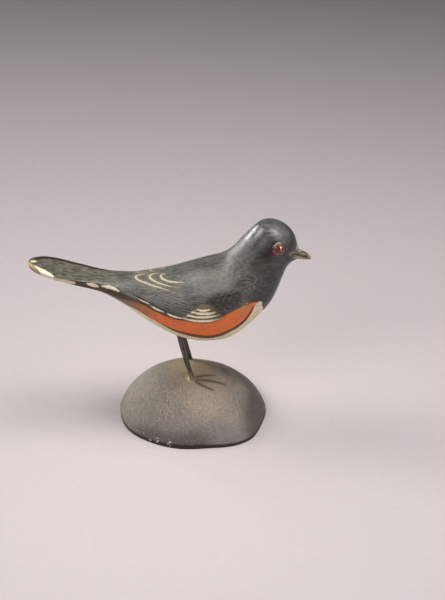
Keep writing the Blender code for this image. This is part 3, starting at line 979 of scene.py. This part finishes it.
    # The tail
    band = r.mix(r.step(r.mark("rear"), 0.35, 1.0), tint["band_front"], tint["band_rear"])
    skin = r.mix(r.times(worn_step("tail_dark"), 0.92), skin, band)
    skin = lay(skin, "tail_pale")
    skin = lay(skin, "tail_end", 0.9)
    skin = dab(skin, "tip", 1.0, 0.85)

    # Barred patch on the wing
    ground = r.mix(r.step(r.mark("patch_cap"), -0.2, 0.25), bird.olive, tint["patch_cap"])
    skin = r.mix(worn_step("patch"), skin, ground)
    skin = lay(skin, "margin", 0.8)

    # Cream strokes, faint and full
    skin = lay(skin, "faint", 0.34)
    thin = r.step(r.noise(1.4, 3, 0.6), 0.25, 0.6, 0.62, 0.95)
    skin = r.mix(r.times(worn_step("feather"), thin), skin, tint["feather"])
    old = r.mix(r.mark("patch_worn"), bird.cream, tint["old_cream"])
    skin = r.mix(r.times(worn_step("cream"), r.step(thin, 0.72, 0.85, 0.88, 1)), skin, old)
    skin = lay(skin, "lenses", 0.85)

    # Beak
    horn = r.mix(r.step(r.noise(1.3, 3, 0.6), 0.42, 0.62), tint["horn_low"], bird.horn)
    horn = r.mix(r.times(r.mark("beak_low"), 0.85), horn, tint["beak_low"])
    # Painted highlight: a pale patch on the beak's root
    horn = dab(horn, "beak_root", 0.9, 0.8)
    horn = dab(horn, "beak_tip", 1.1, 0.7)
    skin = r.mix(worn_step("beak", -0.25, 0.25), skin, horn)
    skin = dab(skin, "gape", 0.75, 0.75)
    skin = lay(skin, "mouth", 0.9, unevenness=0.2)

    # Relief and sheen of the brush and the comb
    height = r.times(fine, 0.30, r.times(streaks, 0.45))
    height = r.times(specks, 0.25, height)
    height = r.times(r.times(wave, here), 0.10, height)
    height = r.times(height, r.times(hood, -0.55, 1.0))
    height = r.times(worn_step("cream"), 0.15, height)
    rough = r.step(r.noise(0.5, 3, 0.6), 0.3, 0.7, 0.38, 0.50)
    rough = r.times(hood, -0.06, rough)
    rough = r.math("SUBTRACT", rough, near("nape", 5.5, 0.15))
    rough = r.times(worn_step("flank_line"), 0.40, rough)
    return r.finish(skin, rough, height, 0.16, coat=0.12, coat_roughness=0.38)


def eye_paint():
    """Glossy paint of an eye: a mottled dark red ball in a thin, broken pinkish ring, with a red corner, a
    painted glint and a painted reflection streak under it.
    """
    tint = EYE_TINTS
    r = Recipe("eye paint")
    reach = r.math("ADD", r.mark("reach"), r.times(r.centred(r.noise(1.8, 2)), 0.45))
    ball = r.mix(r.step(reach, 0.5, 1.15), tint["ball_middle"], tint["ball_edge"])
    ball = r.mix(r.step(r.noise(1.9, 3), 0.46, 0.58, 0, 0.8), ball, tint["ball_pale"])
    ball = r.mix(r.step(r.noise(1.4, 2, 0.5, (1, 1, 1.4)), 0.52, 0.62, 0, 0.7), ball, tint["ball_dark"])
    rim = r.mix(r.step(r.mark("up"), -0.6, 0.5), tint["rim_low"], tint["rim_high"])
    rim = r.mix(r.step(r.mark("back"), -0.2, -0.9), rim, tint["rim_front"])
    rim = r.mix(r.step(r.noise(1.1, 2), 0.47, 0.60, 0, 0.85), rim, tint["rim_gap"])
    skin = r.mix(r.step(reach, 1.2, 1.4), ball, tint["groove"])
    from_ring = r.math("ABSOLUTE", r.math("SUBTRACT", reach, 1.62))
    skin = r.mix(r.step(from_ring, 0.33, 0.08), skin, rim)
    skin = r.mix(r.step(reach, 1.82, 2.02), skin, tint["outside"])
    skin = r.mix(r.step(r.mark("corner"), 0.95, 0.45, 0, 0.9), skin, tint["corner"])
    # Painted reflections: a reddish streak under a near white glint on the ball
    skin = r.mix(r.step(r.mark("streak"), 0.30, 0.14, 0, 0.8), skin, tint["streak"])
    skin = r.mix(r.step(r.mark("glint"), 0.36, 0.2), skin, tint["glint"])
    rough = r.step(r.mark("reach"), 1.1, 1.5, 0.14, 0.4)
    return r.finish(skin, rough, r.noise(1.5, 3), 0.05, coat=0.3, coat_roughness=0.1)


def wire_paint():
    """Dark paint on wire, with streaks down it, bare rubbed patches near the foot and a painted highlight
    down its tail side.
    """
    leg = settings("legs")
    r = Recipe("wire paint")
    streaks = r.noise(1.0, 4, 0.65, (2.4, 2.4, 0.22))
    skin = r.mix(r.step(streaks, 0.44, 0.62), leg.soot, WIRE_STREAK)
    # Rubbed paint near the foot and a painted highlight down the tail side
    worn = r.math("ADD", r.mark("worn"), r.times(r.centred(streaks), 1.8))
    skin = r.mix(r.step(worn, 0.35, 0.7), skin, leg.worn)
    rough = r.step(streaks, 0.3, 0.7, 0.34, 0.6)
    return r.finish(skin, rough, streaks, 0.12, coat=0.1)


def base_paint():
    """Thin dull paint on wood: rubbed to tan in the middle, with fine cracks and flecks along the grain,
    painted shade and shadow at the beak's side, painted shade low on the near side towards the tail, and pale
    chips along the rim."""
    base = settings("base")
    tint = BASE_TINTS
    r = Recipe("base paint")
    clouds = r.noise(0.09, 3, 0.5)
    sway = r.centred(clouds)

    def patch(skin, name, unevenness, low, high, share, paint=None):
        """A paint over the skin where the value of this name is high, with a cloudy edge."""
        value = r.times(sway, unevenness, r.mark(name))
        return r.mix(r.step(value, low, high, 0, share), skin, tint[name] if paint is None else paint)

    grain = r.noise(1.0, 4, 0.7, (2.0, 0.35, 0.35))
    specks = r.noise(1.8, 3, 0.7, (2.2, 1.0, 1.0))
    skin = r.mix(r.step(grain, 0.38, 0.64), tint["moss_low"], base.moss)
    skin = patch(skin, "cool", 1.6, 0.2, 0.9, 0.4)
    skin = patch(skin, "low", 0.8, 0.2, 0.9, 0.6)
    skin = patch(skin, "warm", 1.2, 0.25, 0.9, 0.65)
    skin = patch(skin, "feet", 0.0, 0.15, 0.95, 0.75)
    # Painted shade: the Shadow paint over the beak's side and the far part of it, then painted shade low on
    # the near side towards the tail
    skin = patch(skin, "side", 0.9, 0.25, 0.95, 0.88, base.shadow)
    skin = patch(skin, "shade", 0.5, 0.1, 1.0, 0.62)

    # Flecks, pits and cracks of the thin paint
    fleck = r.times(r.step(specks, 0.56, 0.64), r.times(sway, 0.8, r.mark("flecks")))
    skin = r.mix(r.times(fleck, 0.85), skin, base.tan)
    skin = r.mix(r.times(r.step(specks, 0.46, 0.33), 0.55), skin, tint["pit"])
    crackle = r.crackle(1.3, (1.2, 0.6, 0.6))
    cracks = r.times(r.step(crackle, 0.09, 0.02), r.step(clouds, 0.4, 0.6, 0.1, 0.6))
    skin = r.mix(r.times(cracks, 0.5), skin, tint["crack"])

    # Toes, painted highlights on the filler lumps, and rim
    toes = r.times(r.centred(r.noise(1.6, 3)), 0.45, r.mark("toes"))
    skin = r.mix(r.step(toes, -0.5, 0.35, 0, 0.74), skin, base.toe)
    # Painted highlights: pale spots on the filler lumps
    pale = r.times(r.step(r.mark("lump"), 0.25, 0.6), r.step(r.noise(1.0, 2), 0.45, 0.55))
    skin = r.mix(r.times(pale, 0.85), skin, tint["filler"])
    rim = r.times(r.centred(r.noise(0.9, 3)), 0.8, r.mark("rim"))
    skin = r.mix(r.step(rim, 0.35, 0.85, 0, 0.92), skin, tint["rim"])
    chips = r.times(r.step(r.noise(0.8, 3, 0.6), 0.60, 0.63), r.step(r.mark("chips"), 0.3, 0.6))
    skin = r.mix(r.times(chips, 0.9), skin, tint["chip"])
    height = r.times(specks, 0.5, r.times(grain, 0.5))
    height = r.times(chips, -0.7, r.times(cracks, -0.35, height))
    return r.finish(skin, r.step(grain, 0.3, 0.7, 0.46, 0.62), height, 0.20, specular=0.45)


def floor_paint():
    """Plain pale paper with a very faint tooth."""
    stage = settings("stage")
    r = Recipe("pale floor")
    tooth = r.noise(0.5, 3)
    skin = r.mix(r.step(tooth, 0.3, 0.7), stage.floor, tuple(TOOTH_SHADE * v for v in stage.floor))
    return r.finish(skin, 0.85, tooth, 0.05, specular=0.2)


# Pieces


def distance_to(places, marks):
    """Distance from each place to the nearest of these (along, arc) marks, in mm."""
    return np.min([np.linalg.norm(places - centre, axis=-1) for centre in side_points(marks)], axis=0)


def scallop(along, arc):
    """A short curved stroke that sags towards the keel."""
    return ((along - 0.7, arc + 0.25, 0.04), (along, arc - 0.12, 0.27), (along + 0.8, arc + 0.15, 0.05))


def dash(along, arc):
    """A short stroke that falls a little towards the beak."""
    return ((along - 0.8, arc + 0.1, 0.03), (along, arc, 0.16), (along + 0.9, arc - 0.1, 0.03))


class SONGBIRD_OT_bird(bpy.types.Operator):
    """Build the painted bird"""

    bl_idname = "songbird.bird"
    bl_label = "Bird"

    def execute(self, context):
        bird = settings("bird")
        along = even_stations(bird.stations)
        turn = even_turns(along, bird.sides)
        along = np.repeat(along[:, None], bird.sides, axis=1)
        points = bird_points(along, turn)
        flipped = points * (1, -1, 1)
        left = points[..., 1] > 0
        places = np.where(left[..., None], flipped, points)
        half = bird.sides // 2
        arc = arc_lengths(points, half)
        mirror = (half - np.arange(bird.sides)) % bird.sides
        arc = np.where(left, arc[:, mirror], arc)

        def field(outline):
            return field_depth(places, along, arc, outline)

        def strokes(*lines, reach=STROKE_REACH):
            return stroke_depth(places, lines, reach)

        def both_wings(lines):
            """Strokes that may cross the ridge, each wing's own. The far wing's are lower and thinner."""
            lowered = [[(a, m - FAR_DROP, FAR_SHARE * width) for a, m, width in line] for line in lines]
            far = stroke_depth(flipped, lowered, STROKE_REACH)
            return np.maximum(stroke_depth(points, lines, STROKE_REACH), far)

        def far_cut(depth, height):
            """A field that ends at this height on the far side."""
            return np.where(left, np.minimum(depth, height - arc), depth)

        ahead = {name: ease(along, *span) for name, span in SPANS.items()}
        mouth = strokes(MOUTH)
        eye_gap = distance_to(places, [EYE_PLACE])
        rise = bird.wing_relief / MM * ease(field(WING), -0.1, 0.4) * (1 - ahead["wing"])
        rise = rise - MOUTH_DEPTH * ease(mouth, -0.15, 0.1)
        rise = rise + ripple(points, *BIRD_RIPPLE) * ahead["tail tip"]
        rise = rise + SOCKET_HEIGHT * hump(eye_gap - SOCKET_RADIUS, SOCKET_WIDTH)
        obj = make_mesh("songbird", points + normals_of(points) * rise[..., None])

        comb_low = -strokes([(a, m, 0) for a, m, _ in WING_EDGE] + [(58.0, 0.2, 0)], reach=COMB_REACH)
        comb_high = -strokes(COMB_TOP, reach=COMB_REACH)
        cream = strokes(*WING_DASHES, *PATCH_ARCS, *TAIL_SPOTS)
        feather = both_wings(FEATHER_EDGES)
        tail_worn = OLD_TAIL_SHARE - OLD_TAIL_SHARE * ahead["tail spots"]
        values = {
            "comb": COMB_BARBS * comb_low / (comb_low + comb_high),
            "comb_here": ease(field(COMB), 0.0, 0.8),
            "halo": ease(feather, -1.3, -0.1) * (1 - ahead["halo"]),
            "hood": ease(along - HOOD_LEAN * arc, *HOOD_SPAN),
            "tail": 1 - ahead["tail"],
            "dashes": stroke_depth(points, [dash(*place) for place in BACK_DASHES], STROKE_REACH),
            "far_edge": np.where(left, strokes(TAIL_FAR_EDGE), -STROKE_REACH),
            "underwing": field(UNDERWING),
            "scallops": strokes(*(scallop(*place) for place in BLACK_SCALLOPS)),
            # Painted sheen on the shoulder
            "bloom": distance_to(points, BLOOM_PLACES),
            "nape": distance_to(flipped, NAPE_PLACES),
            "flank": field(FLANK),
            "flank_dull": DULL_SHARE * (1 - ahead["dull rust"]),
            "rear": 1 - ahead["rear"],
            # Painted shade along the top of the flanks, under the wings
            "brim": ease(arc, -3.0, -0.5) * (1 - ahead["brim"]),
            "flank_front": ahead["flank front"] * (1 - ease(-arc, 5, 7)),
            "belly": field(BELLY),
            "flank_line": strokes(FLANK_LINE),
            "wing_border": strokes(WING_EDGE, WING_UNDER_EDGE, PATCH_SHADE, TAIL_TOP_EDGE),
            "tail_dark": field(TAIL_DARK),
            "tail_pale": strokes(TAIL_PALE),
            "tail_end": far_cut(field(TAIL_END), 0.5),
            "tip": distance_to(points, TIP_PLACES),
            "patch": field(PATCH),
            "patch_cap": field(PATCH_CAP),
            "margin": strokes(PATCH_MARGIN),
            "lenses": strokes(*PATCH_LENSES),
            "patch_worn": np.maximum(ahead["patch"] * ease(arc, -2, -1), tail_worn),
            "faint": both_wings(FAINT_EDGES),
            "feather": feather,
            "cream": np.maximum(cream, far_cut(field(TAIL_CORNER), 0.7)),
            "beak": field(BEAK),
            "beak_low": ease(-arc, -0.15, 0.25) * ahead["beak"],
            "mouth": mouth,
        }
        values |= {name: distance_to(places, marks) for name, marks in SPOTS.items()}
        for name, value in values.items():
            store(obj, name, value)
        finish_piece(obj, plumage_paint(), "painted_bird", "bird")
        return {"FINISHED"}


class SONGBIRD_OT_eyes(bpy.types.Operator):
    """Build the raised painted eyes"""

    bl_idname = "songbird.eyes"
    bl_label = "Eyes"

    def execute(self, context):
        """Each eye is a dome over a disc: a power of a cosine for the ball, a bell curve for the ring and a
        parabola for the head's curve under them."""
        bird = settings("bird")
        material = eye_paint()
        along, arc = EYE_PLACE
        around = [(along - 1, arc), (along + 1, arc), (along, arc - 1), (along, arc + 1)]
        place, *near = side_points([EYE_PLACE, *around])
        forward, up = near[1] - near[0], near[3] - near[2]
        normal = np.cross(forward, up)
        normal /= np.linalg.norm(normal)
        forward /= np.linalg.norm(forward)
        up = np.cross(normal, forward)
        if normal[1] > 0:
            raise RuntimeError("the eye faces into the head")
        radius = bird.eye_diameter / MM / 2
        share = np.linspace(EYE_OUTER, 0.0, EYE_RINGS, endpoint=False)[:, None]
        angle = np.linspace(0, 2 * np.pi, EYE_SIDES, endpoint=False)[None, :]
        x, y = share * radius * np.cos(angle), share * radius * np.sin(angle)
        quarter = np.clip(share / EYE_BALL, 0, 1) * np.pi / 2
        ball = bird.eye_height / MM * np.cos(quarter) ** EYE_FULLNESS
        ring = EYE_RING_HEIGHT * hump(share - EYE_RING, EYE_RING_WIDTH)
        skirt = SKIRT_DROP * np.clip(share - SKIRT_SHARE, 0, 1)
        head = EYE_LIFT - (share * radius) ** 2 / HEAD_CURVE - skirt
        out = ball + ring + head + 0 * angle
        points = place + x[..., None] * forward + y[..., None] * up + out[..., None] * normal

        def away(place, stretch=1.0):
            return np.hypot(x - place[0], (y - place[1]) / stretch)

        values = {
            "reach": share * radius + 0 * angle,
            "up": y / radius,
            "back": -x / radius,
            "corner": away(CORNER_PLACE),
            # Places of the painted reflections: the glint and the streak under it
            "glint": away(GLINT_PLACE),
            "streak": away(STREAK_PLACE, STREAK_STRETCH),
        }
        for name, shape, order in (("eye_left", points * (1, -1, 1), -1), ("eye_right", points, 1)):
            obj = make_mesh(name, shape[:, ::order])
            for key, value in values.items():
                store(obj, key, value[:, ::order])
            finish_piece(obj, material, "painted_bird")
        return {"FINISHED"}


class SONGBIRD_OT_legs(bpy.types.Operator):
    """Build the wire legs, each slightly bent as wire is"""

    bl_idname = "songbird.legs"
    bl_label = "Legs"

    def execute(self, context):
        """Each wire is a ring carried from below the foot into the belly, along a line that leans and bows by
        half a sine wave."""
        leg = settings("legs")
        material = wire_paint()
        cross, bend = np.array([0.0, 1.0, 0.0]), np.array([-np.cos(leg.lean), 0, -np.sin(leg.lean)])
        way = np.array([-np.sin(leg.lean), 0, np.cos(leg.lean)])
        angle = np.linspace(0, 2 * np.pi, WIRE_SIDES, endpoint=False)
        ring = np.cos(angle)[:, None] * cross - np.sin(angle)[:, None] * bend
        for side, (sign, foot_shift, top_shift, rubbed) in WIRES.items():
            y = sign * leg.spacing / MM / 2
            foot = np.array([foot_shift - FOOT_BACK, y, dome_height(-FOOT_BACK, y)])
            reach = (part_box(f"leg_{side}")[1].z / MM - WIRE_TOP_GAP - foot[2]) / way[2]
            distance = np.linspace(-WIRE_SUNK, reach, WIRE_RINGS)
            middle = foot + distance[:, None] * way
            middle[:, 0] += (top_shift - foot_shift) * distance / reach
            bow = WIRE_BOW * np.sin(np.pi * np.clip(distance / reach, 0, 1))
            middle = middle + bow[:, None] * bend
            radius = leg.diameter / MM / 2 * (1 + WIRE_SWELL * ease(distance, 0.5 * reach, reach))
            points = middle[:, None, :] + radius[:, None, None] * ring
            points = points + ripple(points, *WIRE_RIPPLE)[..., None] * ring
            obj = make_mesh(f"wire_{side}", points)
            # Rubbed paint near the foot, plus a painted highlight down the tail side
            worn = rubbed * (1 - ease(distance, *WORN_HEIGHTS))
            store(obj, "worn", worn[:, None] + WORN_BEHIND * np.sin(-angle)[None, :])
            finish_piece(obj, material, "painted_wire", f"leg_{side}")
        return {"FINISHED"}


def edge_reach(turn):
    """Reach of the base's edge at these angles from the beak's side: the sum of cosines that passes through
    the numbers of EDGE_LINE."""
    waves = np.arange(len(EDGE_LINE))
    knots = waves * np.pi / waves[-1]
    weights = np.linalg.solve(np.cos(np.outer(knots, waves)), EDGE_LINE)
    return np.cos(np.outer(turn, waves)) @ weights


def base_edge(turn):
    """Places of the base's edge, in mm. Its plan is stretched to the base's width and depth and centred."""
    around = np.linspace(0, 2 * np.pi, EDGE_SAMPLES)
    across, deep = edge_reach(around) * np.cos(around), edge_reach(around) * np.sin(around)
    x = edge_reach(turn) * np.cos(turn) - (across.max() + across.min()) / 2
    y = edge_reach(turn) * np.sin(turn)
    width, depth, _ = np.array(BASE_HIGH - BASE_LOW) / MM
    return x * width / np.ptp(across), y * depth / np.ptp(deep)


def dome_profile(share, turn):
    """Height of the dome, from its summit at share 0 to the top of its upright edge at 1: a superellipse
    whose power falls from the tail's side to the beak's."""
    power = DOME_POWER - DOME_POWER_DROP * np.cos(turn)
    return RIM_HEIGHT + (DOME_TOP - RIM_HEIGHT) * (1 - share**power) ** DOME_SHARPNESS


def dome_height(x, y):
    """Height of the dome at a place, whose share is its distance from the summit over the edge's."""
    turn = np.linspace(0, np.pi, EDGE_SAMPLES)
    edge_x, edge_y = base_edge(turn)
    edge_x, x = edge_x + SUMMIT_BACK, x + SUMMIT_BACK
    bearing = np.arctan2(abs(y), x)
    bearings = np.arctan2(edge_y, edge_x)
    share = np.hypot(x, y) / np.interp(bearing, bearings, np.hypot(edge_x, edge_y))
    return float(dome_profile(share, np.interp(bearing, bearings, turn)))


def spot(x, y, middle, stretch, radius):
    """A soft patch: the bell curve of the distance to its middle, measured in its own stretch each way."""
    return hump(np.hypot((x - middle[0]) / stretch[0], (y - middle[1]) / stretch[1]), radius)


class SONGBIRD_OT_base(bpy.types.Operator):
    """Build the rounded base with the filler lumps and painted toes"""

    bl_idname = "songbird.base"
    bl_label = "Base"

    def execute(self, context):
        """The dome is a stack of rings, each the edge's plan shrunk towards the summit to its share and
        lifted to the dome's profile. Bell curves raise the lumps."""
        leg = settings("legs")
        turn = np.linspace(0, 2 * np.pi, BASE_SIDES, endpoint=False)
        edge_x, edge_y = base_edge(turn)
        upper = np.cos(np.linspace(0, np.pi / 2, BASE_RINGS, endpoint=False))
        lower = [*UNDERSIDE_SHARES, *np.ones(len(EDGE_STEPS) - len(UNDERSIDE_SHARES))]
        share = np.concatenate([lower, upper])[:, None]
        x = share * edge_x - SUMMIT_BACK * (1 - share)
        y = share * edge_y
        z = dome_profile(share, turn[None, :])
        z[: len(EDGE_STEPS)] = np.array(EDGE_STEPS)[:, None]
        points = np.stack([x, y, z], axis=-1)

        # The knife left the edge uneven, and the paint left soft lumps
        outward = np.stack([np.cos(turn), np.sin(turn), 0 * turn], axis=-1)
        wobble = sum(ripple(points, *waves) for waves in EDGE_RIPPLES) - EDGE_SETBACK * ease(share, 0.93, 1.0)
        for bearing, width, reach in EDGE_FACETS:
            turned = (np.degrees(turn) - bearing + 180) % 360 - 180
            wobble = wobble + reach * hump(turned, width)
        points = points + (wobble * ease(share, 0.5, 1.0))[..., None] * outward
        above = ease(z, 0.2, 2.0)
        points[..., 2] += sum(ripple(points, *waves) for waves in DOME_RIPPLES) * above
        foot_x, foot_y = x + FOOT_BACK, np.abs(y) - leg.spacing / MM / 2
        lump = hump(np.hypot(foot_x, foot_y), LUMP_RADIUS) * (1 + ripple(points, *LUMP_RIPPLE))
        lump = lump * np.where(y < 0, 1.0, FAR_LUMP)
        points[..., 2] += LUMP_HEIGHT * lump * above
        obj = make_mesh("dome_base", points)

        # The far foot's toes are drawn narrower
        toe_place = np.stack([foot_x, foot_y * np.where(y > 0, FAR_TOE_SQUEEZE, 1.0)], axis=-1)
        toes = np.full(x.shape, -TOE_REACH)
        for toe in TOES:
            for a, b in pairs(soft_line(toe, TOE_SAMPLES)):
                along, gap = segment(toe_place, a[:2], b[:2])
                toes = np.maximum(toes, a[2] + along * (b[2] - a[2]) - gap)
        out_x, out_y, height = x / edge_x.max(), y / edge_y.max(), points[..., 2]
        near_side, tail_side = ease(-out_y, 0.35, 0.85), 1 - ease(out_x, 0.0, 0.5)
        # Painted shadow over the far part of the dome's beak side, under the bird
        shadow = ease(out_x, -0.25, 0.60) * ease(out_y, -0.30, 0.35)
        chip_band = ease(height, 0.3, 0.8) * (1 - ease(height, 1.6, 2.6))
        values = {
            "toes": toes,
            "lump": lump,
            "flecks": 0.12 + 0.9 * spot(out_x, out_y, *FLECK_SPOT),
            "feet": spot(x, y, *FEET_SPOT),
            "warm": spot(out_x, out_y, *WARM_SPOT),
            "cool": ease(-out_x, 0.1, 0.9) * ease(-out_y, 0.1, 0.8),
            # Painted shade on the beak's side, joined with the painted shadow
            "side": np.maximum(ease(out_x, 0.44, 0.98), shadow),
            "shade": (1 - ease(z, 1.5, 9.0)) * near_side * tail_side,
            "low": ease(-out_y, 0.55, 0.95),
            "rim": 1 - ease(height, 0.7, 1.5 + 0.9 * hump(out_x + 0.1, 0.4)),
            "chips": chip_band * ease(-out_y, 0.3, 0.7) * ease(-out_x, -0.1, 0.2),
        }
        for name, value in values.items():
            store(obj, name, value)
        finish_piece(obj, base_paint(), "painted_base", "base")
        return {"FINISHED"}


def add_light(name, place, energy, softness):
    """A soft spot light that dims towards the edge of its cone, aimed at the floor in front of the base."""
    light = bpy.data.lights.new(name, "SPOT")
    light.energy = energy
    light.spot_size = LIGHT_CONE
    light.spot_blend = 1.0
    light.shadow_soft_size = softness
    obj = bpy.data.objects.new(name, light)
    obj.location = place
    obj.rotation_euler = (Vector(LIGHT_AIM) - Vector(place)).to_track_quat("-Z", "Y").to_euler()
    bpy.context.scene.collection.objects.link(obj)


class SONGBIRD_OT_stage(bpy.types.Operator):
    """Set the pale floor, the soft lights and the camera"""

    bl_idname = "songbird.stage"
    bl_label = "Stage"

    def execute(self, context):
        stage = settings("stage")
        mesh = bpy.data.meshes.new("floor")
        corners = [(FLOOR_HALF * x, FLOOR_HALF * y, 0) for x, y in ((-1, -1), (1, -1), (1, 1), (-1, 1))]
        mesh.from_pydata(corners, [], [(0, 1, 2, 3)])
        floor = bpy.data.objects.new("floor", mesh)
        floor.data.materials.append(floor_paint())
        bpy.context.scene.collection.objects.link(floor)

        for light in LIGHTS:
            add_light(*light)
        world = bpy.data.worlds.new("soft room")
        world.use_nodes = True
        background = world.node_tree.nodes["Background"]
        background.inputs["Color"].default_value = ROOM_COLOUR
        background.inputs["Strength"].default_value = ROOM_STRENGTH
        bpy.context.scene.world = world
        bpy.context.scene.view_settings.view_transform = "Standard"

        target = Vector(VIEW_MIDDLE) * MM
        back = Vector((0, -np.cos(stage.look_down), np.sin(stage.look_down)))
        camera = bpy.data.cameras.new("camera")
        camera.sensor_width = SENSOR_WIDTH
        camera.lens = SENSOR_WIDTH * stage.distance / VIEW_WIDTH
        eye = bpy.data.objects.new("camera", camera)
        eye.location = target + back * stage.distance
        eye.rotation_euler = (-back).to_track_quat("-Z", "Y").to_euler()
        bpy.context.scene.collection.objects.link(eye)
        bpy.context.scene.camera = eye
        return {"FINISHED"}


class SONGBIRD_PT_panel(bpy.types.Panel):
    """Buttons and sizes of the songbird carving"""

    bl_label = "Songbird"
    bl_space_type = "VIEW_3D"
    bl_region_type = "UI"
    bl_category = "Songbird"

    def draw(self, context):
        for group in GROUPS:
            box = self.layout.box()
            for key in GROUPS[group].__annotations__:
                box.prop(settings(group), key)
        for operator in OPERATORS:
            self.layout.operator(operator.bl_idname)


GROUPS = {"bird": BirdSettings, "legs": LegSettings, "base": BaseSettings, "stage": StageSettings}
OPERATORS = (SONGBIRD_OT_bird, SONGBIRD_OT_eyes, SONGBIRD_OT_legs, SONGBIRD_OT_base, SONGBIRD_OT_stage)


def register():
    for item in (*GROUPS.values(), *OPERATORS, SONGBIRD_PT_panel):
        bpy.utils.register_class(item)
    for name, group in GROUPS.items():
        setattr(bpy.types.Scene, name, bpy.props.PointerProperty(type=group))


def unregister():
    for name in GROUPS:
        delattr(bpy.types.Scene, name)
    for item in (SONGBIRD_PT_panel, *OPERATORS, *GROUPS.values()):
        bpy.utils.unregister_class(item)


def main():
    register()
    bpy.ops.songbird.bird()
    bpy.ops.songbird.eyes()
    bpy.ops.songbird.legs()
    bpy.ops.songbird.base()
    bpy.ops.songbird.stage()


if __name__ == "__main__":
    main()
